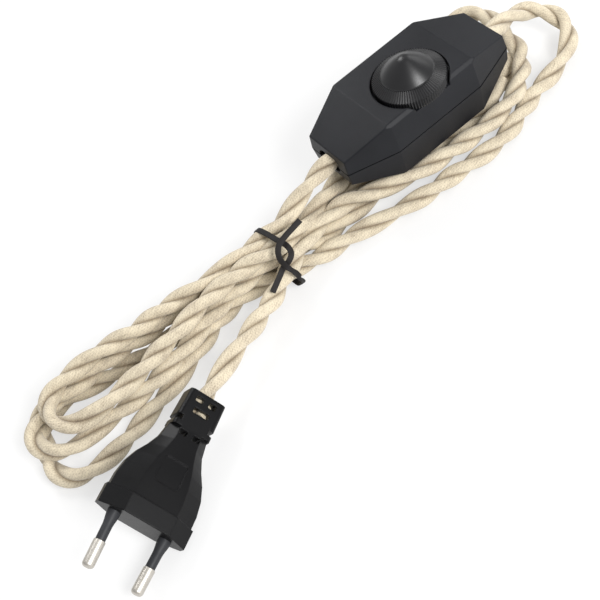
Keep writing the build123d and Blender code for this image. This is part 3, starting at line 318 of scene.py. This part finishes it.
# %% Ribbon helper
TIE_WIDTH = 2.1
TIE_THICKNESS = 0.6
FLAT_POWER = 0.35
RISE_POWER = 0.6


def fair(points, count):
    """Smooth line through points: Catmull-Rom cubic on each stretch, evenly sampled."""
    p = np.asarray(points, float)
    p = np.vstack([2 * p[0] - p[1], p, 2 * p[-1] - p[-2]])
    t = np.linspace(0.0, len(points) - 1.0, count)
    i = np.minimum(t.astype(int), len(points) - 2)
    f = (t - i)[:, None]
    a, b, c, d = p[i], p[i + 1], p[i + 2], p[i + 3]
    return 0.5 * (2 * b + (c - a) * f + (2 * a - 5 * b + 4 * c - d) * f**2
                  + (3 * b - a - 3 * c + d) * f**3)


def ribbon(points, outward, count=120):
    """Rings of a flat band, whose wide side lies across both path and outward.

    The section is a superellipse: each of cos(a) and sin(a) is raised to a power below
    one, with its sign kept, which squares the corners.
    """
    line = above_floor(fair(points, count))
    out = fair(outward, count)
    tangent = np.gradient(line, axis=0)
    tangent /= np.linalg.norm(tangent, axis=1)[:, None]
    out -= tangent * np.sum(out * tangent, axis=1)[:, None]
    out /= np.linalg.norm(out, axis=1)[:, None]
    side = np.cross(tangent, out)
    a = np.linspace(0.0, 2 * np.pi, 16, endpoint=False)
    flat = np.sign(np.cos(a)) * np.abs(np.cos(a)) ** FLAT_POWER * TIE_WIDTH / 2
    rise = np.sign(np.sin(a)) * np.abs(np.sin(a)) ** RISE_POWER * TIE_THICKNESS / 2
    ring = flat[None, :, None] * side[:, None] + rise[None, :, None] * out[:, None]
    return line[:, None] + MM * ring


print("band:", TIE_WIDTH, "x", TIE_THICKNESS, "mm")

# %% Tie round the waist
TOWARDS_VIEW = (-0.16, -0.61, 0.77)
LOWER_TAIL = [
    (-72, -6, 0.7), (-72, 1.5, 1.6), (-72, 4.9, 6), (-72, 5.2, 12), (-71.9, 2.2, 18.2),
    (-71.3, -3.5, 20.6), (-70.4, -9.5, 20.9), (-69.5, -14.2, 20.6), (-70.3, -17.6, 20.0),
    (-72.6, -18.6, 18.8), (-75.1, -17.6, 16.8), (-77.6, -18.2, 15.4), (-83.4, -21.1, 14.4),
]
LOWER_OUT = [
    (0, 0, -1), (0, 0.7, -0.7), (0, 1, 0), (0, 1, 0.3), (0, 0.6, 0.8), (0, 0, 1),
    (0, -0.3, 1), (-0.2, -0.5, 0.8), TOWARDS_VIEW, (-0.5, -0.8, 0.5), (-0.1, -0.8, 0.6),
    (0.1, -0.8, 0.6), TOWARDS_VIEW,
]
UPPER_TAIL = [
    (-72, -6, 0.7), (-72, -14.5, 1.4), (-71.4, -18.2, 4.5), (-71.9, -19.4, 8.0),
    (-72.3, -19.9, 11.5), (-73.3, -19.6, 15.0), (-74.4, -18.3, 18.2), (-74.2, -15.8, 20.4),
    (-71.9, -13.4, 22.2), (-67.6, -12.1, 22.6), (-60.2, -10.9, 22.8),
]
UPPER_OUT = [
    (0, 0, -1), (0, -0.6, -0.8), (0, -1, 0), (0.9, -0.4, 0), (-0.4, -1, 0.1),
    (0.8, -0.7, 0.1), (-0.6, -0.8, 0.4), (-0.3, -0.4, 0.9), (0.1, -0.4, 1),
    TOWARDS_VIEW, TOWARDS_VIEW,
]

tie = mesh_piece("wire_tie", [ribbon(LOWER_TAIL, LOWER_OUT), ribbon(UPPER_TAIL, UPPER_OUT)])
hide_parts("twist_tie")
print("tie faces:", len(tie.data.polygons))

# %% [markdown]
# ## Dial
# The dial is a turned form: a vertical rim, a sloping flange, a small lip and a domed
# cap that runs up to a rounded tip. Fine teeth run up the rim and over the
# flange. The profile is one line of radius and height, and the teeth take a little
# off the radius, as a triangle wave round the axis.

# %% Sizes of the dial
DIAL_CENTRE = (0.0, -4.4, PARTING)
ROOF = 12.6
UNDER = ROOF - 2.4
HOLLOW_TOP = ROOF + 1.0
BORE = 3.01
BORE_TOP = 16.0
HUB = 4.8
RIM_INSIDE = 11.8
RIM = (13.4, ROOF + 1.0)
FOOT = (9.4, ROOF + 3.3)
LIP = ((0.18, 0.05), (0.24, 0.2), (0.16, 0.34), (0.0, 0.4))  # from the foot
TEETH = 84
TOOTH_DEPTH = 0.42
TOOTH_FADE = 0.35
POINTS_PER_TOOTH = 6
TIP = ROOF + 10.2
BALL = 4.5
TOP_SLOPE = math.radians(32)
FOOT_SLOPE = math.radians(50)
print("dial:", 2 * RIM[0], "mm across,", round(TIP - UNDER, 1), "mm high,", TEETH, "teeth")


# %% Dial surface
def dial_profile():
    """Radius, height and tooth share of the dial, from its bore round to its tip.

    The flank is the quadratic whose middle point is where the slopes of foot and top meet.
    """
    under = [(0.0, BORE_TOP, 0), (BORE, BORE_TOP, 0), (BORE, UNDER, 0), (HUB, UNDER, 0),
             (HUB, HOLLOW_TOP, 0), (RIM_INSIDE, HOLLOW_TOP, 0), (RIM_INSIDE, UNDER, 0),
             (RIM[0], UNDER, 1)]
    rim = [(RIM[0], UNDER + t * (RIM[1] - UNDER), 1.0) for t in np.linspace(0.0, 1.0, 5)[1:]]
    flange = [(RIM[0] + t * (FOOT[0] - RIM[0]), RIM[1] + t * (FOOT[1] - RIM[1]),
               1.0 - TOOTH_FADE * t) for t in np.linspace(0.0, 1.0, 9)[1:]]
    *lip, foot = [(FOOT[0] + out, FOOT[1] + rise) for out, rise in LIP]
    top = (BALL * math.sin(TOP_SLOPE), TIP - BALL + BALL * math.cos(TOP_SLOPE))
    fall, climb = math.tan(TOP_SLOPE), math.tan(FOOT_SLOPE)
    bend_r = (foot[1] + foot[0] * climb - top[1] - top[0] * fall) / (climb - fall)
    bend = (bend_r, foot[1] + (foot[0] - bend_r) * climb)
    t = np.linspace(0.0, 1.0, 24)[:, None]
    foot, bend, top = np.array(foot), np.array(bend), np.array(top)
    flank = (1 - t) ** 2 * foot + 2 * t * (1 - t) * bend + t**2 * top
    a = np.linspace(TOP_SLOPE, 0.0, 12)[1:, None]
    ball = np.hstack([BALL * np.sin(a), TIP - BALL + BALL * np.cos(a)])
    cap = [(r, z, 0.0) for r, z in np.vstack([lip, flank, ball])]
    return np.array(under + rim + flange + cap)


def toothed_grid(profile):
    """Rings of the dial: radius less its tooth share of a triangle wave round the axis."""
    a = np.linspace(0.0, 2 * np.pi, TEETH * POINTS_PER_TOOTH, endpoint=False)
    wave = 2 * np.abs((a * TEETH / (2 * np.pi)) % 1.0 - 0.5)
    radius = profile[:, :1] - TOOTH_DEPTH * profile[:, 2:3] * wave[None, :]
    height = np.broadcast_to(profile[:, 1:2], radius.shape)
    return metres(np.stack([radius * np.cos(a), radius * np.sin(a), height], -1) + DIAL_CENTRE)


dial = mesh_piece("dial", [toothed_grid(dial_profile())], caps=False, body="dial")
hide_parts("dial_knob")
print("dial faces:", len(dial.data.polygons))

# %% [markdown]
# ## Pins of the plug
# Each pin and its sleeve are turned forms too, but on a leaning axis: rings of the
# profile's radius are set along the line from the pin's root to its tip. In the plug's
# own directions, x runs out of its front and y from pin to pin, and the plug's turn
# and place put that line in the frame. The sleeve starts in a collar that tapers, and
# the bare end has a rounded nose.

# %% Turned pins and sleeves
PLUG_PLACE = (-165.9, -58.5, FLOOR + 12.75)
PLUG_TURN = Euler([math.radians(a) for a in (-46.0, -1.2, -151.2)]).to_matrix()
PIN_LENGTH = 19.0
PIN_RADIUS = 2.0
PIN_NOSE = 1.2
ROOT_APART = 9.3
TIP_APART = 8.75
CORE_RADIUS = 1.25
SLEEVE_LENGTH = 10.0
COLLAR = ((0.0, 2.2), (1.2, 2.18), (2.2, 2.05), (3.2, 1.86), (4.2, 1.72), (5.2, 1.66))


def turned_along(root, tip, profile, columns=40):
    """Rings root + d * axis + r * (cos(a) * u + sin(a) * v) for each (d, r) of a profile."""
    ends = [np.array(PLUG_TURN @ Vector(p)) + PLUG_PLACE for p in (root, tip)]
    axis = ends[1] - ends[0]
    axis /= np.linalg.norm(axis)
    u = np.cross(axis, (0.0, 0.0, 1.0))
    u /= np.linalg.norm(u)
    v = np.cross(axis, u)
    a = np.linspace(0.0, 2 * np.pi, columns, endpoint=False)[:, None]
    ring = np.cos(a) * u + np.sin(a) * v
    d, r = np.array(profile, float).T[:, :, None, None]
    return metres(ends[0] + d * axis + r * ring)


nose_turn = np.linspace(0.0, np.pi / 2, 8)
nose = np.stack([PIN_LENGTH - PIN_NOSE + PIN_NOSE * np.sin(nose_turn),
                 PIN_RADIUS - PIN_NOSE + PIN_NOSE * np.cos(nose_turn)], axis=1)
pin_profile = [(0.0, CORE_RADIUS), (SLEEVE_LENGTH, CORE_RADIUS),
               (SLEEVE_LENGTH + 0.02, PIN_RADIUS - 0.12), (SLEEVE_LENGTH + 0.14, PIN_RADIUS),
               *nose.tolist()]
sleeve_profile = [(0.0, CORE_RADIUS), *COLLAR, (SLEEVE_LENGTH - 0.3, 1.65),
                  (SLEEVE_LENGTH, 1.55), (SLEEVE_LENGTH, CORE_RADIUS)]
pins, sleeves = [], []
for number, lane in ((1, 1.0), (2, -1.0)):
    root, tip = (0.0, ROOT_APART * lane, 0.0), (PIN_LENGTH, TIP_APART * lane, 0.0)
    pin = mesh_piece(f"pin_{number}", [turned_along(root, tip, pin_profile)])
    sleeve = mesh_piece(f"sleeve_{number}", [turned_along(root, tip, sleeve_profile)])
    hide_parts(f"plug_pin_{number}")
    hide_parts(f"pin_sleeve_{number}")
    pins.append(pin)
    sleeves.append(sleeve)
print("pin and sleeve faces:", len(pin.data.polygons), len(sleeve.data.polygons))

# %% [markdown]
# ## Materials
# Each finish is a small node tree on object coordinates, so it stays on the piece
# from every side. Noise breaks up colour and roughness, and a bump gives the fine
# texture of a moulding. Moulded edges are never quite sharp, so a bevel node may soften
# the way they shade, without a change of shape.


# %% Material helpers
CLOUD_SCALE = 43.75
GRAIN_SCALE = 350.0
SMOOTHER = 0.06
ROUGHER = 0.08
LINE_ROUGHER = 0.12
LINE_DEPTH = 0.00003


def new_material(name):
    """Empty node material and its shader."""
    material = bpy.data.materials.new(name)
    material.use_nodes = True
    tree = material.node_tree
    return material, tree, tree.nodes["Principled BSDF"]


def noise(tree, scale, detail=3.0, squash=None):
    """Noise texture on a piece's own coordinates, with an optional stretch."""
    place = tree.nodes.new("ShaderNodeTexCoord")
    texture = tree.nodes.new("ShaderNodeTexNoise")
    texture.inputs["Scale"].default_value = scale
    texture.inputs["Detail"].default_value = detail
    link = place.outputs["Object"]
    if squash:
        mapping = tree.nodes.new("ShaderNodeMapping")
        mapping.inputs["Scale"].default_value = squash
        tree.links.new(link, mapping.inputs["Vector"])
        link = mapping.outputs["Vector"]
    tree.links.new(link, texture.inputs["Vector"])
    return texture


def ramp(tree, value, low, high, start=0.3, end=0.7):
    """Two colours blended by a value."""
    blend = tree.nodes.new("ShaderNodeValToRGB")
    blend.color_ramp.elements[0].position = start
    blend.color_ramp.elements[1].position = end
    blend.color_ramp.elements[0].color = (*low, 1.0)
    blend.color_ramp.elements[1].color = (*high, 1.0)
    tree.links.new(value, blend.inputs["Fac"])
    return blend.outputs["Color"]


def spread(tree, value, low, high):
    """A value mapped to a range, for roughness."""
    out = tree.nodes.new("ShaderNodeMapRange")
    out.inputs["To Min"].default_value = low
    out.inputs["To Max"].default_value = high
    tree.links.new(value, out.inputs["Value"])
    return out.outputs["Result"]


def bump(tree, shader, height, strength, distance):
    """Bump from a height into the shader's normal."""
    node = tree.nodes.new("ShaderNodeBump")
    node.inputs["Strength"].default_value = strength
    node.inputs["Distance"].default_value = distance
    tree.links.new(height, node.inputs["Height"])
    tree.links.new(node.outputs["Normal"], shader.inputs["Normal"])
    return node


def moulding(name, low, high, rough, grain, depth, gloss=0.5, soften=0.0):
    """Moulded plastic: cloudy colour, uneven roughness, a fine grained skin, soft edges."""
    material, tree, shader = new_material(name)
    shader.inputs["Specular IOR Level"].default_value = gloss
    cloud = noise(tree, CLOUD_SCALE)
    fine = noise(tree, GRAIN_SCALE * grain, detail=5.0)
    tree.links.new(ramp(tree, cloud.outputs["Fac"], low, high), shader.inputs["Base Color"])
    tree.links.new(spread(tree, fine.outputs["Fac"], rough - SMOOTHER, rough + ROUGHER),
                   shader.inputs["Roughness"])
    skin = bump(tree, shader, fine.outputs["Fac"], 0.6, depth)
    if soften:
        edge = tree.nodes.new("ShaderNodeBevel")
        edge.inputs["Radius"].default_value = soften
        tree.links.new(edge.outputs["Normal"], skin.inputs["Normal"])
    return material


def metal(name, low, high, rough, squash=(40.0, 900.0, 900.0), relief=0.25):
    """Metal with fine drawn lines: stretched noise in colour, roughness and bump."""
    material, tree, shader = new_material(name)
    shader.inputs["Metallic"].default_value = 1.0
    lines = noise(tree, 1.0, detail=4.0, squash=squash)
    tree.links.new(ramp(tree, lines.outputs["Fac"], low, high), shader.inputs["Base Color"])
    tree.links.new(spread(tree, lines.outputs["Fac"], rough, rough + LINE_ROUGHER),
                   shader.inputs["Roughness"])
    bump(tree, shader, lines.outputs["Fac"], relief, LINE_DEPTH)
    return material


print("helpers for mouldings and metals ready")

# %% [markdown]
# ## Cotton braid
# Each strand is covered with a fine braid of cotton. Its threads run in two crossing
# helices, so the pattern comes from two slanted waves of the cord's own texture
# coordinates: length along the strand in millimetres and turns round it. The dips
# between threads are painted darker and browner, as painted shade, and a slow noise
# varies the yarn's own tone. The grooves between the two strands get a darker painted
# shade still, by the attribute "openness", which grows with the distance from the
# middle of the cord.


# %% Braid material
THREAD_LENGTH = 0.95
THREADS_ROUND = 7
DRIFT = 7.0
YARN_SLANT = 0.28
YARN_STRETCH = 0.55
YARN_SWING = 5.0
WEAVE_SHARE, YARN_SHARE, FUZZ_SHARE = 0.15, 1.3, 0.7
HEIGHT_SHARE, TONE_SHARE = 0.34, 0.35
# The dip colour is painted shade in the dips between threads, and also the dark end of the
# yarn's own tone; the groove colour is painted shade between the two strands.
DIP_COLOUR, THREAD_COLOUR = (0.33, 0.27, 0.20), (0.68, 0.60, 0.45)
GROOVE_SHADE_COLOUR = (0.30, 0.24, 0.18)


def braid(name):
    """Two crossing slanted waves for the threads, over slow changes of tone.

    weave = max(sin(along + round), sin(along - round)), where along grows with the
    length and round with the turns. The yarn is noise on the strand's surface, twisted
    as it goes, and fuzz is much finer noise.
    """
    material, tree, shader = new_material(name)
    where = tree.nodes.new("ShaderNodeUVMap")
    where.uv_map = "along"
    split = tree.nodes.new("ShaderNodeSeparateXYZ")
    tree.links.new(where.outputs["UV"], split.inputs["Vector"])

    def maths(operation, first, second):
        node = tree.nodes.new("ShaderNodeMath")
        node.operation = operation
        for socket, value in zip(node.inputs, (first, second)):
            if isinstance(value, float):
                socket.default_value = value
            elif value is not None:
                tree.links.new(value, socket)
        return node.outputs["Value"]

    tone = noise(tree, 160.0, detail=4.0)
    drift = maths("MULTIPLY", noise(tree, 420.0, detail=2.0).outputs["Fac"], DRIFT)
    length, turns = split.outputs["X"], split.outputs["Y"]
    along = maths("ADD", maths("MULTIPLY", length, 2 * math.pi / THREAD_LENGTH), drift)
    round_ = maths("MULTIPLY", turns, 2 * math.pi * THREADS_ROUND)
    first = maths("SINE", maths("ADD", along, round_), None)
    second = maths("SINE", maths("SUBTRACT", along, round_), None)
    weave = maths("MAXIMUM", first, second)
    slant = maths("ADD", maths("MULTIPLY", turns, 2 * math.pi),
                  maths("MULTIPLY", length, YARN_SLANT))
    yarn_place = tree.nodes.new("ShaderNodeCombineXYZ")
    for axis, value, factor in (("X", length, YARN_STRETCH),
                                ("Y", maths("COSINE", slant, None), YARN_SWING),
                                ("Z", maths("SINE", slant, None), YARN_SWING)):
        tree.links.new(maths("MULTIPLY", value, factor), yarn_place.inputs[axis])
    yarn = tree.nodes.new("ShaderNodeTexNoise")
    yarn.inputs["Scale"].default_value = 1.0
    yarn.inputs["Detail"].default_value = 3.0
    tree.links.new(yarn_place.outputs["Vector"], yarn.inputs["Vector"])
    fuzz = noise(tree, 2600.0, detail=3.0)
    height = maths("ADD", maths("MULTIPLY", weave, WEAVE_SHARE),
                   maths("ADD", maths("MULTIPLY", yarn.outputs["Fac"], YARN_SHARE),
                         maths("MULTIPLY", fuzz.outputs["Fac"], FUZZ_SHARE)))
    shade = maths("ADD", maths("MULTIPLY", height, HEIGHT_SHARE),
                  maths("MULTIPLY", tone.outputs["Fac"], TONE_SHARE))
    # Painted shade: darker and browner in the dips between threads, mixed with the yarn's own
    # tone.
    colour = ramp(tree, shade, DIP_COLOUR, THREAD_COLOUR, 0.33, 0.62)
    # Painted shade: darker in the grooves between the two strands, where openness is small.
    openness = tree.nodes.new("ShaderNodeAttribute")
    openness.attribute_name = "openness"
    groove_shade = ramp(tree, openness.outputs["Fac"], GROOVE_SHADE_COLOUR, (1.0, 1.0, 1.0), 0.35, 0.74)
    shaded = tree.nodes.new("ShaderNodeMixRGB")
    shaded.blend_type = "MULTIPLY"
    shaded.inputs["Fac"].default_value = 1.0
    tree.links.new(colour, shaded.inputs["Color1"])
    tree.links.new(groove_shade, shaded.inputs["Color2"])
    tree.links.new(shaded.outputs["Color"], shader.inputs["Base Color"])
    shader.inputs["Roughness"].default_value = 0.9
    shader.inputs["Specular IOR Level"].default_value = 0.2
    shader.inputs["Sheen Weight"].default_value = 0.25
    shader.inputs["Sheen Roughness"].default_value = 0.5
    bump(tree, shader, height, 0.6, 0.00014)
    return material


cotton = braid("cotton_braid")
for cord in (mains_cord, lamp_cord):
    cord.data.materials.append(cotton)
print("braid nodes:", len(cotton.node_tree.nodes))

# %% [markdown]
# ## Finishes of the outside
# The housing, the dial and the plug are three black plastics: a satin one with a
# slight grain, a smoother and glossier one, and a deep black one. The pins are plain
# nickel with no drawn lines, and the tie is covered with dark paper. A thin dark band
# in the housing's colour stands for the shadow in the parting line.

# %% Finishes of the visible pieces
housing_skin = moulding("housing_moulding", (0.0045, 0.005, 0.0072), (0.0100, 0.0108, 0.0138),
                        0.46, 14.0, 0.00006, gloss=0.24, soften=0.0006)
dial_skin = moulding("dial_moulding", (0.007, 0.007, 0.008), (0.010, 0.010, 0.011),
                     0.34, 10.0, 0.00001, gloss=0.45)
plug_skin = moulding("plug_moulding", (0.0025, 0.0025, 0.003), (0.005, 0.005, 0.0055),
                     0.34, 9.0, 0.00003, gloss=0.17, soften=0.0007)
sleeve_skin = moulding("sleeve_moulding", (0.020, 0.021, 0.024), (0.030, 0.031, 0.035),
                       0.5, 8.0, 0.00002, gloss=0.3)
tie_skin = moulding("tie_paper", (0.008, 0.0065, 0.0065), (0.017, 0.0145, 0.0145),
                    0.6, 12.0, 0.00005, gloss=0.25)
nickel = metal("nickel_pin", (0.56, 0.53, 0.48), (0.62, 0.59, 0.54), 0.38,
               (300.0, 300.0, 300.0), relief=0.0)
zinc = metal("zinc_screw", (0.50, 0.50, 0.52), (0.70, 0.70, 0.72), 0.3)
dial.data.materials.append(dial_skin)
tie.data.materials.append(tie_skin)
for pin, sleeve in zip(pins, sleeves):
    pin.data.materials.append(nickel)
    sleeve.data.materials.append(sleeve_skin)
print("finishes:", housing_skin.name, dial_skin.name, plug_skin.name, nickel.name)

# %% Parting line and CAD nodes
SEAM_WIDTH = 0.28 * MM


def shade_seam(material, level, width):
    """Darken a material where |z - level| < width, as the shadow in a parting line."""
    tree = material.node_tree
    shader = tree.nodes["Principled BSDF"]
    colour, gloss = shader.inputs["Base Color"], shader.inputs["Specular IOR Level"]
    place = tree.nodes.new("ShaderNodeTexCoord")
    split = tree.nodes.new("ShaderNodeSeparateXYZ")
    tree.links.new(place.outputs["Object"], split.inputs["Vector"])
    near = tree.nodes.new("ShaderNodeMath")
    near.operation = "COMPARE"
    near.inputs[1].default_value = level
    near.inputs[2].default_value = width
    tree.links.new(split.outputs["Z"], near.inputs[0])
    dark = tree.nodes.new("ShaderNodeMixRGB")
    dark.inputs["Color2"].default_value = (0.001, 0.001, 0.001, 1.0)
    tree.links.new(near.outputs["Value"], dark.inputs["Fac"])
    tree.links.new(colour.links[0].from_socket, dark.inputs["Color1"])
    tree.links.new(dark.outputs["Color"], colour)
    tree.links.new(spread(tree, near.outputs["Value"], gloss.default_value, 0.0), gloss)


def dress(material, *names):
    """Give a CAD node's mesh a new material in every slot."""
    for name in names:
        slots = nodes[name].material_slots
        for slot in slots:
            slot.material = material
        if not slots:
            nodes[name].data.materials.append(material)


shade_seam(housing_skin, PARTING * MM, SEAM_WIDTH)
dress(housing_skin, "upper_shell", "lower_shell")
dress(plug_skin, "plug_body")
dress(zinc, "casing_screws", "clamp_screws", "terminal_screws")
print("materials:", len(bpy.data.materials))

# %% [markdown]
# ## Finishes inside the housing
# Nobody sees the works until the shells come apart, but each piece still gets the
# finish of its kind: laminate, moulded cases, drawn copper and plated springs.

# %% Finishes of the inner pieces
INNER_MOULDINGS = (
    # finish, its darker and lighter colour, roughness, grain, depth of grain, nodes
    ("board_laminate", (0.035, 0.16, 0.08), (0.06, 0.24, 0.13), 0.35, 10.0, 0.00002,
     ("circuit_board",)),
    ("capacitor_case", (0.50, 0.30, 0.06), (0.62, 0.40, 0.10), 0.3, 8.0, 0.00001,
     ("film_capacitor",)),
    ("potentiometer_case", (0.04, 0.07, 0.15), (0.06, 0.10, 0.20), 0.45, 8.0, 0.00002,
     ("potentiometer_body",)),
    ("triac_case", (0.03, 0.03, 0.035), (0.05, 0.05, 0.055), 0.55, 14.0, 0.00004,
     ("triac",)),
    ("choke_core_coat", (0.70, 0.60, 0.14), (0.82, 0.72, 0.22), 0.5, 10.0, 0.00004,
     ("choke_core",)),
    ("terminal_moulding", (0.05, 0.22, 0.10), (0.08, 0.30, 0.15), 0.5, 10.0, 0.00003,
     ("terminal_block_mains", "terminal_block_lamp")),
    ("resistor_lacquer", (0.60, 0.48, 0.28), (0.72, 0.60, 0.38), 0.4, 9.0, 0.00002,
     ("resistors",)),
    ("conductor_insulation", (0.16, 0.08, 0.04), (0.24, 0.13, 0.07), 0.4, 8.0, 0.00002,
     ("mains_conductors", "lamp_conductors")),
    ("clamp_moulding", (0.12, 0.12, 0.13), (0.17, 0.17, 0.18), 0.5, 10.0, 0.00003,
     ("cord_clamp_mains", "cord_clamp_lamp")),
    ("fuse_glass", (0.55, 0.62, 0.62), (0.70, 0.76, 0.76), 0.12, 6.0, 0.000005,
     ("fuse",)),
    ("diac_glass", (0.10, 0.22, 0.40), (0.16, 0.32, 0.52), 0.15, 6.0, 0.000005,
     ("diac",)),
)
INNER_METALS = (
    # finish, its darker and lighter colour, roughness, stretch of the lines, nodes
    ("enamelled_copper", (0.55, 0.22, 0.08), (0.75, 0.36, 0.16), 0.25,
     (900.0, 900.0, 60.0), ("choke_winding",)),
    ("plated_clip", (0.70, 0.56, 0.28), (0.84, 0.70, 0.40), 0.28,
     (40.0, 900.0, 900.0), ("fuse_clips",)),
    ("turned_shaft", (0.62, 0.62, 0.64), (0.78, 0.78, 0.80), 0.25,
     (60.0, 60.0, 1500.0), ("potentiometer_shaft",)),
)
for *finish, names in INNER_MOULDINGS:
    dress(moulding(*finish), *names)
for *finish, names in INNER_METALS:
    dress(metal(*finish), *names)
fuse_shader = bpy.data.materials["fuse_glass"].node_tree.nodes["Principled BSDF"]
fuse_shader.inputs["Transmission Weight"].default_value = 0.6
print("inner finishes:", len(INNER_MOULDINGS) + len(INNER_METALS))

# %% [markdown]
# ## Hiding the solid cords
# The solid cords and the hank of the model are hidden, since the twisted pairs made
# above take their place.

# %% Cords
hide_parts("mains_lead", "plug_lead")
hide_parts("lamp_lead", "cord_hank")

# %% [markdown]
# ## Floor and light
# The object lies on a pale floor under large soft lamps, so shadows are faint. For the
# camera and for reflections, part of the floor's light is a white glow, which lifts it
# to white, and the rest keeps the contact shadows. Nothing else is lit by that glow.

# %% Floor
FLOOR_HALF = 3.0
FLOOR_GAP = 0.1 * MM
GLOW_SHARE = 0.6

floor_mesh = bpy.data.meshes.new("floor")
corners = [(x * FLOOR_HALF, y * FLOOR_HALF, FLOOR * MM - FLOOR_GAP)
           for x, y in ((-1, -1), (1, -1), (1, 1), (-1, 1))]
floor_mesh.from_pydata(corners, [], [(0, 1, 2, 3)])
floor = bpy.data.objects.new("floor", floor_mesh)
scene.collection.objects.link(floor)
floor_look, tree, shader = new_material("pale_floor")
shader.inputs["Base Color"].default_value = (0.86, 0.86, 0.86, 1.0)
shader.inputs["Roughness"].default_value = 0.9
shader.inputs["Specular IOR Level"].default_value = 0.0
glow = tree.nodes.new("ShaderNodeEmission")
glow.inputs["Strength"].default_value = 1.0
seen = tree.nodes.new("ShaderNodeLightPath")
either = tree.nodes.new("ShaderNodeMath")
either.operation = "MAXIMUM"
tree.links.new(seen.outputs["Is Camera Ray"], either.inputs[0])
tree.links.new(seen.outputs["Is Glossy Ray"], either.inputs[1])
share = tree.nodes.new("ShaderNodeMath")
share.operation = "MULTIPLY"
share.inputs[1].default_value = GLOW_SHARE
tree.links.new(either.outputs["Value"], share.inputs[0])
mix = tree.nodes.new("ShaderNodeMixShader")
tree.links.new(share.outputs["Value"], mix.inputs["Fac"])
tree.links.new(shader.outputs["BSDF"], mix.inputs[1])
tree.links.new(glow.outputs["Emission"], mix.inputs[2])
tree.links.new(mix.outputs["Shader"], tree.nodes["Material Output"].inputs["Surface"])
floor_mesh.materials.append(floor_look)
print("floor", 2 * FLOOR_HALF, "m wide")

# %% Lamps and sky
SKY_STRENGTH = 0.56
LAMPS = (
    # name, place, side in metres, power in watts
    ("front_key", (0.12, -0.76, 0.62), 0.40, 9.0),
    ("right_side", (0.80, 0.15, 0.45), 0.5, 1.5),
    ("back_top", (0.0, 0.66, 0.72), 0.40, 4.0),
)
AIM = Vector((-0.05, 0.0, 0.0))

world = bpy.data.worlds.new("studio")
scene.world = world
world.use_nodes = True
sky = world.node_tree.nodes["Background"]
sky.inputs["Color"].default_value = (1.0, 1.0, 1.0, 1.0)
sky.inputs["Strength"].default_value = SKY_STRENGTH
for name, place, size, power in LAMPS:
    lamp_data = bpy.data.lights.new(name, "AREA")
    lamp_data.shape = "SQUARE"
    lamp_data.size = size
    lamp_data.energy = power
    lamp = bpy.data.objects.new(name, lamp_data)
    facing = (AIM - Vector(place)).to_track_quat("-Z", "Y").to_matrix().to_4x4()
    lamp.matrix_world = Matrix.Translation(place) @ facing
    scene.collection.objects.link(lamp)
print("lamps:", len(LAMPS))
